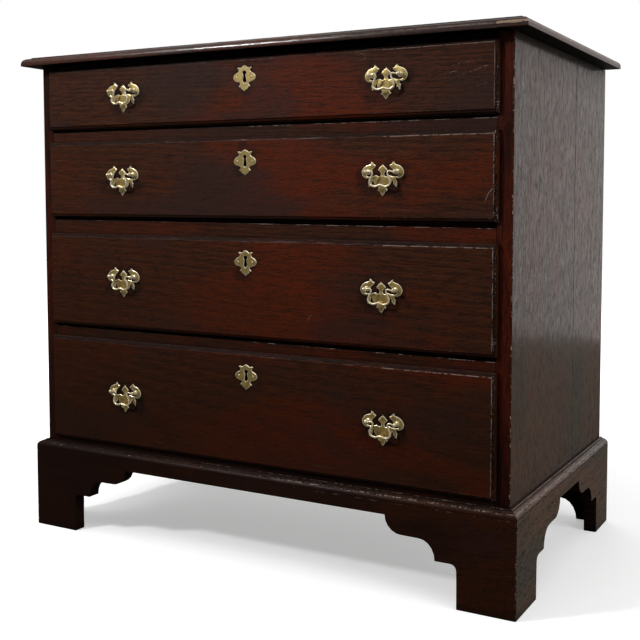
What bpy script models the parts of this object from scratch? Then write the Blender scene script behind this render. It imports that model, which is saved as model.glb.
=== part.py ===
"""Chest of four long drawers on bracket feet.

Metres, +Z up. The origin is on the floor under the middle of the chest, the drawers face -Y
and +X is to the right. Drawer 1 is the top one.
"""

import math

import bmesh
import bpy
from mathutils import Matrix, Vector

# Fits
joint_gap = 0.0003
merge_distance = 0.000003
overrun = 0.012
drawer_side_play = 0.0010
drawer_top_play = 0.0012
front_foot_play = 0.0010

# Carcass
carcass_width = 0.940
carcass_depth = 0.519
seat_height = 0.147
side_thickness = 0.026
back_thickness = 0.012
back_rebate = 0.010

# Top board, moulded on its front and side edges
top_thickness = 0.017
top_overhang_side = 0.029
top_overhang_front = 0.027
top_nose_height = 0.010
top_nose_width = 0.011
top_fillet_width = 0.0025
top_fillet_height = 0.0020
top_nose_steps = 4

# Drawer fronts, from the top down, and what shows above, between and below them
face_heights = (0.110, 0.138, 0.171, 0.195)
rail_reveals = (0.024, 0.032, 0.023)
top_reveal = 0.010
foot_reveal = 0.0095
stile_reveal = 0.0215
face_proud = 0.0110
lip_overlap = 0.0060
lip_edge = 0.0030
lip_mould_width = 0.0056
lip_fillet_height = 0.0018
lip_mould_steps = 3
front_behind_face = 0.0130

# Dividers between the drawers, each a front rail with a runner at either end
rail_depth = 0.058
runner_width = 0.030
tongue_depth = 0.006
tongue_stop = 0.012

# Drawer boxes
drawer_side_thickness = 0.010
drawer_back_thickness = 0.012
drawer_rear_space = 0.029
drawer_back_drop = 0.008
bottom_rise = 0.008
bottom_thickness = 0.007
bottom_groove = 0.004
tail_length = 0.0105
tail_pitch = 0.046
tail_flare = 0.0022
pin_width = 0.0065

# Plinth and bracket feet; reaches are measured from the corner of the foot
plinth_proud = 0.0167
plinth_thickness = 0.024
plinth_lap = 0.0185
plinth_fillet_width = 0.0048
plinth_fillet_height = 0.0020
plinth_mould_height = 0.0120
plinth_mould_steps = 4
foot_width = 0.0968
foot_ear = 0.0100
step_reach = 0.1330
step_height = 0.0705
cove_reach = 0.1600
cove_height = 0.1020
bulge_reach = 0.1900
bracket_reach = 0.2200
apron_height = 0.1310
foot_arc_steps = 5
rear_bracket_thickness = 0.020
rear_foot_width = 0.0555
rear_cove_reach = 0.0880
rear_cove_height = 0.0390
rear_bulge_reach = 0.1500

# Handle plates, posts and bails; heights are measured from the posts, and each drawer's left
# and right handle sit a little off their even places
handle_spread = 0.2630
handle_rises = (0.0095, 0.0080, 0.0103, 0.0050)
handle_shifts = ((0.0, 0.0018), (-0.0045, -0.0036), (-0.0045, -0.0055), (-0.0045, -0.0020))
plate_half_width = 0.0370
plate_height = 0.0540
plate_thickness = 0.0016
post_half_spread = 0.0255
post_stand = 0.0090
post_head_radius = 0.0033
post_ball_steps = 3
post_neck_radius = 0.0019
post_base_radius = 0.0040
post_base_height = 0.0011
post_shank_radius = 0.0017
post_hole_play = 0.0004
nut_radius = 0.0050
nut_thickness = 0.0030
post_sides = 7
bail_drop = 0.0225
bail_radius = 0.00105
bail_hole_play = 0.0006
bail_entry = 0.0022
bail_seat_play = 0.0005

# Escutcheons and keyholes; heights are measured from the keyhole's middle
keyhole_drops = (0.0345, 0.0405, 0.0400, 0.0405)
escutcheon_half_width = 0.0225
escutcheon_height = 0.0443
escutcheon_thickness = 0.0014
escutcheon_pin_spread = 0.0146
escutcheon_pin_radius = 0.0019
escutcheon_pin_height = 0.0011
escutcheon_pin_sides = 8
keyhole_radius = 0.0037
keyhole_rise = 0.0070
keyhole_waist = 0.0019
keyhole_skirt = 0.0036
keyhole_skirt_drop = 0.0070
keyhole_point_drop = 0.0100
keyhole_steps = 6
keyhole_margin = 0.0006

# Locks, let into the backs of the drawer fronts
lock_half_width = 0.0300
lock_thickness = 0.0100
lock_inset = 0.0006
lock_below_keyhole = 0.0180
lock_wall = 0.0022
bolt_half_width = 0.0120
bolt_thickness = 0.0046
bolt_height = 0.0140
bolt_play = 0.0005
bolt_travel = 0.0080
mortise_play = 0.0015

# Outlines as shares of the sizes they follow: across and up, right half only, top to bottom
plate_outline_shares = (
    (0.0, 0.226), (0.10, 0.165), (0.23, 0.066), (0.10, -0.02), (0.08, -0.09), (0.15, -0.137),
    (0.30, -0.098), (0.40, -0.12), (0.66, -0.135), (0.79, -0.10), (0.60, -0.072), (0.535, -0.01),
    (0.46, 0.074), (0.32, 0.174), (0.40, 0.222), (0.55, 0.30), (0.57, 0.235), (0.69, 0.204),
    (0.84, 0.165), (0.96, 0.08), (1.0, -0.01), (0.96, -0.11), (0.85, -0.17), (0.60, -0.182),
    (0.68, -0.31), (0.64, -0.444), (0.565, -0.345), (0.52, -0.385), (0.51, -0.25), (0.44, -0.225),
    (0.41, -0.31), (0.34, -0.385), (0.176, -0.46), (0.24, -0.53),
)
plate_tip_share = -0.70
escutcheon_outline_shares = (
    (0.14, 0.43), (0.26, 0.377), (0.44, 0.345), (0.67, 0.341), (0.52, 0.29), (0.525, 0.215),
    (0.645, 0.163), (0.81, 0.124), (0.95, 0.07), (1.0, 0.0), (0.945, -0.08), (0.81, -0.147),
    (0.60, -0.18), (0.40, -0.217), (0.39, -0.25), (0.43, -0.307), (0.53, -0.354), (0.40, -0.38),
    (0.30, -0.418), (0.17, -0.48),
)
escutcheon_crown_share = 0.458
escutcheon_tip_share = -0.542
bail_outline_shares = (
    (0.76, 0.0), (0.60, 0.04), (0.52, -0.10), (0.56, -0.32), (0.68, -0.60), (0.66, -0.84),
    (0.50, -0.97), (0.30, -1.0), (0.08, -0.93),
)
bail_bar_share = 1.35
bail_arm_share = 1.0

# Shading: roughness, and the angles at which faces join or an edge shows
varnish_roughness = 0.45
metal_roughness = 0.35
flat_angle = math.radians(0.02)
sharp_angle = math.radians(35)

# Places worked out from the sizes above
plinth_top = seat_height + plinth_lap
lowest_face = plinth_top + foot_reveal
carcass_top = lowest_face + sum(face_heights) + sum(rail_reveals) + top_reveal
top_z = carcass_top + top_thickness
front_y = (top_overhang_front - carcass_depth) / 2
half_width = carcass_width / 2
opening_half = half_width - side_thickness
face_half = half_width - stile_reveal
box_half = opening_half - drawer_side_play
back_y = front_y + carcass_depth
inner_back_y = back_y - back_thickness
face_y = front_y - face_proud
front_back_y = front_y + front_behind_face
drawer_end_y = inner_back_y - drawer_rear_space
rail_end_y = front_y + rail_depth
shoulder_y = front_y + tongue_stop
runner_end_y = inner_back_y - joint_gap
corner_x = half_width + plinth_proud
corner_y = front_y - plinth_proud
plate_back_y = face_y - joint_gap
plate_face_y = plate_back_y - plate_thickness
pivot_y = plate_face_y - post_stand

# Colours
oak_front = (0.060, 0.021, 0.012)
oak_frame = (0.045, 0.016, 0.010)
oak_side = (0.075, 0.045, 0.032)
oak_inside = (0.30, 0.19, 0.11)
pale_brass = (0.50, 0.38, 0.17)
lock_iron = (0.20, 0.19, 0.18)

OUTLINE_TURNS = {
    "X": Matrix(((0, 0, 1), (1, 0, 0), (0, 1, 0))),
    "Y": Matrix(((1, 0, 0), (0, 0, -1), (0, 1, 0))),
    "Z": Matrix.Identity(3),
}


def empty_scene():
    """Clears whatever the scene holds."""
    for thing in list(bpy.data.objects):
        bpy.data.objects.remove(thing)


def new_group(name):
    """A collection of this name in the scene."""
    group = bpy.data.collections.new(name)
    bpy.context.scene.collection.children.link(group)
    return group


def weld(mesh):
    """Joins the loose caps of a converted curve to its sides, each cap as few faces as it can."""
    shape = bmesh.new()
    shape.from_mesh(mesh)
    bmesh.ops.remove_doubles(shape, verts=shape.verts, dist=merge_distance)
    bmesh.ops.dissolve_limit(
        shape, angle_limit=flat_angle, verts=shape.verts, edges=shape.edges
    )
    bmesh.ops.recalc_face_normals(shape, faces=shape.faces)
    shape.to_mesh(mesh)
    shape.free()


def curve_to_mesh(guide, name):
    """Turns a curve object into a welded mesh object at the same place."""
    cutters.objects.link(guide)
    bpy.context.view_layer.update()
    evaluated = guide.evaluated_get(bpy.context.evaluated_depsgraph_get())
    mesh = bpy.data.meshes.new_from_object(evaluated)
    mesh.name = name
    weld(mesh)
    piece = bpy.data.objects.new(name, mesh)
    piece.matrix_world = guide.matrix_world
    bpy.data.objects.remove(guide)
    return piece


def outline_solid(name, loops, axis, low, high):
    """Flat outline drawn across an axis and extruded along it from low to high."""
    curve = bpy.data.curves.new(name, "CURVE")
    curve.dimensions = "2D"
    curve.fill_mode = "BOTH"
    curve.extrude = (high - low) / 2
    for loop in loops:
        spline = curve.splines.new("POLY")
        spline.points.add(len(loop) - 1)
        for point, (across, up) in zip(spline.points, loop):
            point.co = (across, up, 0, 1)
        spline.use_cyclic_u = True
    guide = bpy.data.objects.new(name + "_guide", curve)
    middle = Vector((axis == "X", axis == "Y", axis == "Z")) * ((low + high) / 2)
    guide.matrix_world = Matrix.Translation(middle) @ OUTLINE_TURNS[axis].to_4x4()
    return curve_to_mesh(guide, name)


def block(name, low, high):
    """Box between two corners."""
    shape = bmesh.new()
    bmesh.ops.create_cube(shape, size=1)
    bmesh.ops.scale(shape, vec=Vector(high) - Vector(low), verts=shape.verts)
    mesh = bpy.data.meshes.new(name)
    shape.to_mesh(mesh)
    shape.free()
    piece = bpy.data.objects.new(name, mesh)
    piece.location = (Vector(low) + Vector(high)) / 2
    return piece


def rod(name, radius, axis, low, high, across, up, sides):
    """Round bar along an axis; across and up are its place in the plane square to it."""
    shape = bmesh.new()
    bmesh.ops.create_cone(
        shape, cap_ends=True, segments=sides, radius1=radius, radius2=radius, depth=high - low
    )
    mesh = bpy.data.meshes.new(name)
    shape.to_mesh(mesh)
    shape.free()
    piece = bpy.data.objects.new(name, mesh)
    turn = OUTLINE_TURNS[axis]
    middle = Vector((axis == "X", axis == "Y", axis == "Z")) * ((low + high) / 2)
    place = middle + turn @ Vector((across, up, 0))
    piece.matrix_world = Matrix.Translation(place) @ turn.to_4x4()
    return piece


def turned(name, profile, place, sides):
    """Turned solid whose axis points to -Y; the profile runs from the outer end inwards."""
    mesh = bpy.data.meshes.new(name)
    points = [(radius, 0, along) for radius, along in profile]
    mesh.from_pydata(points, [(i, i + 1) for i in range(len(points) - 1)], [])
    piece = bpy.data.objects.new(name, mesh)
    screw = piece.modifiers.new("turning", "SCREW")
    screw.steps = sides
    screw.render_steps = sides
    screw.use_merge_vertices = True
    screw.merge_threshold = merge_distance
    piece.matrix_world = Matrix.Translation(place) @ Matrix.Rotation(math.pi / 2, 4, "X")
    return piece


def as_cutter(piece):
    """Puts a helper among the cutters, out of the render."""
    cutters.objects.link(piece)
    piece.hide_render = True
    piece.display_type = "WIRE"
    return piece


def combine(piece, other, operation):
    """Adds a Boolean with another object that serves only for it."""
    if not other.users_collection:
        as_cutter(other)
    boolean = piece.modifiers.new(other.name, "BOOLEAN")
    boolean.operation = operation
    boolean.object = other


def cut(piece, *others):
    """Cuts others out of a piece."""
    for other in others:
        combine(piece, other, "DIFFERENCE")


def trim(piece, *others):
    """Keeps of a piece only what lies inside the others."""
    for other in others:
        combine(piece, other, "INTERSECT")


def fuse(piece, *others):
    """Joins others to a piece."""
    for other in others:
        combine(piece, other, "UNION")


def finish(piece, colour, roughness, metallic, body):
    """Gives a finished piece its own material and hangs it under the empty of its body."""
    chest.objects.link(piece)
    material = bpy.data.materials.new(piece.name + "_finish")
    material.use_nodes = True
    shader = material.node_tree.nodes["Principled BSDF"]
    shader.inputs["Base Color"].default_value = (*colour, 1)
    shader.inputs["Roughness"].default_value = roughness
    shader.inputs["Metallic"].default_value = metallic
    piece.data.materials.append(material)
    piece.parent = body
    piece.location -= body.location
    return piece


def wood(piece, colour, body):
    """Varnished or bare wood."""
    return finish(piece, colour, varnish_roughness, 0, body)


def metal(piece, colour, body):
    """Rounds the shading of a brass or iron piece, and finishes it."""
    piece.data.shade_smooth()
    piece.data.set_sharp_from_angle(angle=sharp_angle)
    return finish(piece, colour, metal_roughness, 1, body)


def arc(middle, reach, rise, start, end, steps):
    """Points on an ellipse's arc, from start to end in degrees, ends included."""
    turns = [math.radians(start + (end - start) * i / steps) for i in range(steps + 1)]
    return [(middle[0] + reach * math.cos(t), middle[1] + rise * math.sin(t)) for t in turns]


def mirrored(points):
    """The points of a right half taken to the left, in reverse."""
    return [(-across, up) for across, up in reversed(points)]


def body_empty(name, place):
    """Empty that carries one body's pieces."""
    empty = bpy.data.objects.new(name, None)
    empty.location = place
    chest.objects.link(empty)
    return empty


def face_levels():
    """Lip top and foot of each drawer front, from the top drawer down."""
    levels = []
    top = lowest_face + sum(face_heights) + sum(rail_reveals)
    for height, reveal in zip(face_heights, (*rail_reveals, 0)):
        levels.append((top, top - height))
        top -= height + reveal
    return levels


def divider_levels(levels):
    """Underside and upper side of each divider, which the drawers above and below set."""
    pairs = zip(levels[:-1], levels[1:])
    return [(below[0] - lip_overlap, above[1] - front_foot_play) for above, below in pairs]


def make_top(body):
    """Top board: a moulded section along X, trimmed by a moulded section along Y."""
    low = carcass_top + joint_gap
    high = top_z

    def nose(edge):
        """Right-hand edge, from the underside up: square edge, round nose and fillet."""
        round_x = edge - top_nose_width
        round_z = high - top_fillet_height - top_nose_height
        quarter = arc((round_x, round_z), top_nose_width, top_nose_height, 0, 90, top_nose_steps)
        inner = (round_x - top_fillet_width, high - top_fillet_height)
        return [(edge, low), *quarter, inner, (inner[0], high)]

    half_length = half_width + top_overhang_side
    front_edge = front_y - top_overhang_front
    side = nose(half_length)
    front = [(-across, up) for across, up in nose(-front_edge)]
    section = [*front, (back_y, high), (back_y, low)]
    reach = half_length + overrun
    board = outline_solid("top_board", [section], "X", -reach, reach)
    ends = [*side, *mirrored(side)]
    trim(board, outline_solid("top_ends", [ends], "Y", front_edge - overrun, back_y + overrun))
    wood(board, oak_frame, body)


def panel_outline(end_y):
    """Right half of the plan of a board let into both sides."""
    tongue = opening_half + tongue_depth - joint_gap
    return [(tongue, front_y), (tongue, end_y)]


def tongue_stops():
    """Cutters that end the tongues of the rails and dividers short of the carcass front."""
    stops = []
    for hand, sign in (("left", -1), ("right", 1)):
        low, high = sorted((sign * (opening_half - joint_gap), sign * half_width))
        near = (low, front_y - overrun, 0)
        stops.append(block(f"tongue_stop_{hand}", near, (high, shoulder_y, top_z)))
    return stops


def housing(name, low, high, end_y):
    """Cutter that lets a board of this height into both sides at once."""
    reach = opening_half + tongue_depth
    near = (-reach, shoulder_y - joint_gap, low - joint_gap)
    return block(name, near, (reach, end_y + joint_gap, high + joint_gap))


def make_carcass(body, levels):
    """Sides, back, bottom, top rail and the dividers with their runners."""
    dividers = divider_levels(levels)
    rail_low = levels[0][0] - lip_overlap
    rail_high = carcass_top
    floor_low = seat_height
    floor_high = levels[-1][1] - front_foot_play
    stops = tongue_stops()
    housings = [housing("rail_housing", rail_low, rail_high + overrun, rail_end_y)]
    housings.append(housing("floor_housing", floor_low - overrun, floor_high, runner_end_y))
    for number, (low, high) in enumerate(dividers, 1):
        housings.append(housing(f"divider_{number}_housing", low, high, runner_end_y))
    rebate_half = opening_half + back_rebate
    rebate_low = (-rebate_half, inner_back_y - joint_gap, seat_height - overrun)
    rebate_high = (rebate_half, back_y + overrun, carcass_top + overrun)
    housings.append(block("back_rebate", rebate_low, rebate_high))
    for name, sign in (("side_left", -1), ("side_right", 1)):
        ends = sorted((sign * opening_half, sign * half_width))
        side = block(name, (ends[0], front_y, seat_height), (ends[1], back_y, carcass_top))
        cut(side, *housings)
        wood(side, oak_side, body)

    back_half = rebate_half - joint_gap
    back_low = (-back_half, inner_back_y, seat_height)
    wood(block("back_panel", back_low, (back_half, back_y, carcass_top)), oak_inside, body)

    plan = panel_outline(rail_end_y)
    rail = outline_solid("top_rail", [[*plan, *mirrored(plan)]], "Z", rail_low, rail_high)
    cut(rail, bolt_mortise(1, rail_low), *stops)
    wood(rail, oak_frame, body)

    plan = panel_outline(runner_end_y)
    floor = outline_solid("bottom_board", [[*plan, *mirrored(plan)]], "Z", floor_low, floor_high)
    cut(floor, *stops)
    wood(floor, oak_frame, body)

    inner = opening_half - runner_width
    plan = [*panel_outline(runner_end_y), (inner, runner_end_y), (inner, rail_end_y)]
    for number, (low, high) in enumerate(dividers, 1):
        name = f"divider_{number}"
        divider = outline_solid(name, [[*plan, *mirrored(plan)]], "Z", low, high)
        cut(divider, bolt_mortise(number + 1, low), *stops)
        wood(divider, oak_frame, body)


def bolt_mortise(number, underside):
    """Mortise in the rail above a drawer, for its lock bolt."""
    half = bolt_half_width + mortise_play
    near, far = bolt_depths()
    low = (-half, near - mortise_play, underside - overrun)
    high = (half, far + mortise_play, underside + bolt_travel + mortise_play)
    return block(f"bolt_mortise_{number}", low, high)


def bolt_depths():
    """Front and back of the bolts, in the middle of the lock's thickness."""
    middle = front_back_y - lock_inset - lock_thickness / 2
    return middle - bolt_thickness / 2, middle + bolt_thickness / 2


def bracket_profile():
    """Reach and height along the foot's inner edge, from the floor up to the apron."""
    ear = (foot_width + foot_ear, step_height - foot_ear)
    cove = (cove_reach, step_height)
    cove_wide = cove_reach - step_reach
    cove_high = cove_height - step_height
    bulge = (bulge_reach, apron_height)
    bulge_wide = bracket_reach - bulge_reach
    bulge_high = apron_height - cove_height
    return [
        (foot_width, 0),
        *arc(ear, foot_ear, foot_ear, 180, 90, foot_arc_steps),
        *arc(cove, cove_wide, cove_high, 180, 90, foot_arc_steps),
        *arc(bulge, bulge_wide, bulge_high, -90, 0, foot_arc_steps),
    ]


def rear_profile():
    """Reach and height along a rear bracket's plain inner edge, up to the carcass."""
    cove = (rear_cove_reach, 0)
    cove_wide = rear_cove_reach - rear_foot_width
    bulge = (rear_cove_reach, seat_height)
    bulge_wide = rear_bulge_reach - rear_cove_reach
    bulge_high = seat_height - rear_cove_height
    return [
        *arc(cove, cove_wide, rear_cove_height, 180, 90, foot_arc_steps),
        *arc(bulge, bulge_wide, bulge_high, -90, 0, foot_arc_steps)[1:],
    ]


def plinth_section(face, sign):
    """Section of a plinth board: moulded top edge outside, ledge for the carcass inside.

    Face is the carcass face that the board lies against, and sign the way outwards.
    """
    outer = face + sign * plinth_proud
    fillet = face + sign * (joint_gap + plinth_fillet_width)
    mould_foot = plinth_top - plinth_mould_height
    round_top = plinth_top - plinth_fillet_height
    middle = (fillet, mould_foot)
    quarter = arc(middle, outer - fillet, round_top - mould_foot, 90, 0, plinth_mould_steps)
    inner = outer - sign * plinth_thickness
    ledge = seat_height - joint_gap
    points = [(face + sign * joint_gap, ledge), (face + sign * joint_gap, plinth_top)]
    points += [(fillet, plinth_top), *quarter, (outer, 0), (inner, 0), (inner, ledge)]
    return points


def make_plinth(body):
    """Front and side plinth boards with their feet, mitred at the front corners."""
    profile = bracket_profile()
    inner_y = corner_y + plinth_thickness
    inner_x = corner_x - plinth_thickness

    right = [(corner_x - reach, height) for reach, height in reversed(profile)]
    right += [(corner_x, 0), (corner_x, plinth_top)]
    outline = [*right, *mirrored(right)]
    board = outline_solid("plinth_front", [outline], "Y", corner_y - overrun, inner_y + overrun)
    section = plinth_section(front_y, -1)
    plan = [(corner_x, corner_y), (inner_x, inner_y), (-inner_x, inner_y), (-corner_x, corner_y)]
    reach = corner_x + overrun
    trim(
        board,
        outline_solid("plinth_front_section", [section], "X", -reach, reach),
        outline_solid("plinth_front_mitres", [plan], "Z", -overrun, plinth_top + overrun),
    )
    wood(board, oak_frame, body)

    rear_corner_y = back_y + plinth_proud
    foot_front = [(corner_y + reach, height) for reach, height in profile]
    foot_back = [(rear_corner_y - reach, height) for reach, height in reversed(profile)]
    outline = [(corner_y, 0), *foot_front, *foot_back, (back_y, 0), (back_y, plinth_top)]
    outline.append((corner_y, plinth_top))
    mitre_slip = joint_gap * math.sqrt(2)
    for name, sign in (("plinth_left", -1), ("plinth_right", 1)):
        outer = sign * (corner_x + overrun)
        inner = sign * (inner_x - overrun)
        low, high = sorted((outer, inner))
        board = outline_solid(name, [outline], "X", low, high)
        section = plinth_section(sign * half_width, sign)
        plan = [
            (outer, corner_y - overrun + mitre_slip),
            (inner, inner_y + overrun + mitre_slip),
            (inner, back_y + overrun),
            (outer, back_y + overrun),
        ]
        trim(
            board,
            outline_solid(name + "_section", [section], "Y", corner_y - overrun, back_y + overrun),
            outline_solid(name + "_mitre", [plan], "Z", -overrun, plinth_top + overrun),
        )
        rear = [(sign * (corner_x - reach), height) for reach, height in rear_profile()]
        buried = sign * (corner_x - plinth_thickness / 2)
        rear = [(buried, 0), *rear[:-1], (rear[-1][0], seat_height - joint_gap)]
        rear.append((buried, seat_height - joint_gap))
        depths = (back_y - rear_bracket_thickness, back_y - joint_gap)
        fuse(board, outline_solid(name + "_rear_bracket", [rear], "Y", *depths))
        wood(board, oak_frame, body)


def lip_points(edge, inner):
    """One moulded edge of a drawer front, from its back to the field."""
    lip_y = front_y - joint_gap
    round_y = lip_y - lip_edge
    field_step_y = face_y + lip_fillet_height
    middle = (edge - lip_mould_width, round_y)
    quarter = arc(middle, lip_mould_width, field_step_y - round_y, 0, 90, lip_mould_steps)
    points = [(inner, front_back_y), (inner, lip_y), (edge, lip_y)]
    if edge == inner:
        points = points[:1]
    return [*points, *quarter, (edge - lip_mould_width, face_y)]


def tail_bands(low, high):
    """Foot and head of each dovetail at its wide end, with half a pin at either end."""
    count = max(2, round((high - low) / tail_pitch))
    pitch = (high - low) / count
    starts = [low + pitch * i + pin_width / 2 for i in range(count)]
    return [(start, start + pitch - pin_width) for start in starts]


def tail_points(bands, neck_y, tip_y, grow):
    """Four corners of each dovetail, from the bottom up; grow widens it for a pocket."""
    tip = tip_y + math.copysign(grow, tip_y - neck_y)
    for foot, head in bands:
        yield [
            (neck_y, foot + tail_flare - grow),
            (tip, foot - grow),
            (tip, head + grow),
            (neck_y, head - tail_flare + grow),
        ]


def front_pockets(bands, neck_y, tip_y):
    """Outlines of the pockets for the front dovetails, open past the neck."""
    open_y = neck_y + overrun
    loops = []
    for corners in tail_points(bands, neck_y, tip_y, joint_gap):
        loops.append([(open_y, corners[0][1]), *corners, (open_y, corners[-1][1])])
    return loops


def rear_notches(bands, neck_y, tip_y):
    """Outlines of the notches that the rear dovetails pass through, open at both faces."""
    open_y = neck_y - overrun
    past_y = tip_y + overrun
    loops = []
    for foot, wide_foot, wide_head, head in tail_points(bands, neck_y, tip_y, joint_gap):
        rear = [wide_foot, (past_y, wide_foot[1]), (past_y, wide_head[1]), wide_head]
        loops.append([(open_y, foot[1]), foot, *rear, head, (open_y, head[1])])
    return loops


def keyhole_points(grow):
    """Outline of a keyhole round its own middle: round head, waist and flared skirt."""
    radius = keyhole_radius + grow
    waist = keyhole_waist + grow
    start = math.degrees(math.asin(waist / radius))
    head = arc((0, keyhole_rise), radius, radius, start - 90, 90, keyhole_steps)[:-1]
    skirt = (keyhole_skirt + grow, -keyhole_skirt_drop)
    right = [skirt, *head]
    return [(0, -keyhole_point_drop - grow), *right, (0, keyhole_rise + radius), *mirrored(right)]


def chain(loops):
    """All the points of several loops, one after another."""
    return [point for loop in loops for point in loop]


def moved(points, across, up):
    """The same points in another place."""
    return [(x + across, z + up) for x, z in points]


def make_drawer(number, top, foot):
    """One drawer: lipped front, dovetailed box, bottom board, lock, escutcheon and handles."""
    name = f"drawer_{number}"
    ground = foot - front_foot_play + joint_gap
    box_top = top - lip_overlap - drawer_top_play
    middle_z = (top + foot) / 2
    body = body_empty(name, (0, front_y, middle_z))
    keyhole_z = top - keyhole_drops[number - 1]
    post_z = middle_z + handle_rises[number - 1]

    edge = lip_points(face_half, box_half)
    plan = [*edge, *mirrored(edge)]
    front = outline_solid(f"{name}_front", [plan], "Z", foot - overrun, top + overrun)
    upper = [(depth, height) for height, depth in lip_points(top, box_top)]
    lower = [(depth, -height) for height, depth in lip_points(-foot, -foot)]
    section = [*upper, *reversed(lower)]
    trim(front, outline_solid(f"{name}_section", [section], "X", -half_width, half_width))

    inner_half = box_half - drawer_side_thickness
    back_high = box_top - drawer_back_drop
    bottom_low = ground + bottom_rise
    bottom_high = bottom_low + bottom_thickness
    back_low = bottom_high + joint_gap
    back_face_y = drawer_end_y - drawer_back_thickness
    neck_y = front_back_y + joint_gap
    tip_y = front_back_y - tail_length
    front_tails = tail_bands(ground, box_top)
    back_tails = tail_bands(back_low, back_high)

    bottom_half = inner_half + bottom_groove - joint_gap
    bottom_start = front_back_y - bottom_groove + joint_gap
    near = Vector((-bottom_half, bottom_start, bottom_low))
    far = Vector((bottom_half, drawer_end_y, bottom_high))
    wood(block(f"{name}_bottom", near, far), oak_inside, body)
    grow = Vector((joint_gap, joint_gap, joint_gap))
    groove = block(f"{name}_groove", near - grow, far + grow + Vector((0, overrun, 0)))

    rear_neck_y = back_face_y - joint_gap
    outline = [(neck_y, ground), *chain(tail_points(front_tails, neck_y, tip_y, 0))]
    outline += [(neck_y, box_top), (rear_neck_y, box_top)]
    outline += reversed(chain(tail_points(back_tails, rear_neck_y, drawer_end_y, 0)))
    outline.append((rear_neck_y, ground))
    pockets = front_pockets(front_tails, neck_y, tip_y)
    notches = rear_notches(back_tails, rear_neck_y, drawer_end_y)
    near = (-box_half, back_face_y, back_low)
    back = block(f"{name}_back", near, (box_half, drawer_end_y, back_high))
    for hand, sign in (("left", -1), ("right", 1)):
        low, high = sorted((sign * inner_half, sign * box_half))
        side = outline_solid(f"{name}_side_{hand}", [outline], "X", low, high)
        cut(side, groove)
        wood(side, oak_inside, body)
        ends = sorted((sign * (inner_half - joint_gap), sign * (box_half + overrun)))
        cut(front, outline_solid(f"{name}_pockets_{hand}", pockets, "X", *ends))
        cut(back, outline_solid(f"{name}_notches_{hand}", notches, "X", *ends))
    wood(back, oak_inside, body)

    cut(front, groove)
    make_lock(number, keyhole_z, box_top, front, body)
    left_shift, right_shift = handle_shifts[number - 1]
    make_handle(number, "left", left_shift - handle_spread, post_z, front, body)
    make_handle(number, "right", right_shift + handle_spread, post_z, front, body)
    wood(front, oak_front, body)


def make_lock(number, keyhole_z, box_top, front, body):
    """Lock case with its bolt in the back of a drawer front, and the escutcheon outside."""
    case_back = front_back_y - lock_inset
    case_front = case_back - lock_thickness
    case_foot = keyhole_z - lock_below_keyhole
    bolt_near, bolt_far = bolt_depths()
    near = Vector((-lock_half_width, case_front, case_foot))
    case = block(f"lock_case_{number}", near, (lock_half_width, case_back, box_top))
    grow = Vector((joint_gap, joint_gap, joint_gap))
    far = (lock_half_width + joint_gap, front_back_y + overrun, box_top + overrun)
    cut(front, block(f"lock_pocket_{number}", near - grow, far))
    chamber_half = bolt_half_width + bolt_play
    near = (-chamber_half, bolt_near - bolt_play, case_foot + lock_wall)
    far = (chamber_half, bolt_far + bolt_play, box_top + overrun)
    hole = moved(keyhole_points(0), 0, keyhole_z)
    depths = (case_front - overrun, bolt_near)
    cut(case, block(f"lock_chamber_{number}", near, far))
    cut(case, outline_solid(f"lock_keyhole_{number}", [hole], "Y", *depths))
    metal(case, lock_iron, body)

    near = (-bolt_half_width, bolt_near, box_top - bolt_height)
    bolt = block(f"lock_bolt_{number}", near, (bolt_half_width, bolt_far, box_top))
    metal(bolt, lock_iron, body)

    wide_hole = moved(keyhole_points(keyhole_margin), 0, keyhole_z)
    depths = (face_y - overrun, case_front)
    cut(front, outline_solid(f"front_keyhole_{number}", [wide_hole], "Y", *depths))
    make_escutcheon(number, keyhole_z, hole, body)


def make_escutcheon(number, keyhole_z, hole, body):
    """Pierced brass plate round a keyhole, with a pin on either side."""
    half = [
        (across * escutcheon_half_width, up * escutcheon_height)
        for across, up in escutcheon_outline_shares
    ]
    crown = (0, escutcheon_crown_share * escutcheon_height)
    tip = (0, escutcheon_tip_share * escutcheon_height)
    loop = moved([crown, *half, tip, *mirrored(half)], 0, keyhole_z)
    face = plate_back_y - escutcheon_thickness
    plate = outline_solid(f"escutcheon_{number}", [loop, hole], "Y", face, plate_back_y)
    depths = (face - escutcheon_pin_height, face + escutcheon_thickness / 2)
    for hand, sign in (("left", -1), ("right", 1)):
        name = f"escutcheon_pin_{number}_{hand}"
        place = (sign * escutcheon_pin_spread, keyhole_z)
        fuse(plate, rod(name, escutcheon_pin_radius, "Y", *depths, *place, escutcheon_pin_sides))
    metal(plate, pale_brass, body)


def post_profile():
    """Radius and stand of a handle post from its head in to the end of its shank."""
    ball = arc((0, post_stand), post_head_radius, post_head_radius, 90, -40, post_ball_steps)
    points = [(0, post_stand + post_head_radius), *ball[1:]]
    inside = -plate_thickness - joint_gap - face_proud - front_behind_face
    nut = inside - joint_gap
    points += [
        (post_neck_radius, post_base_height),
        (post_base_radius, post_base_height),
        (post_base_radius, -plate_thickness / 2),
        (post_shank_radius, -plate_thickness / 2),
        (post_shank_radius, nut),
        (nut_radius, nut),
        (nut_radius, nut - nut_thickness),
        (0, nut - nut_thickness),
    ]
    return points


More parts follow.
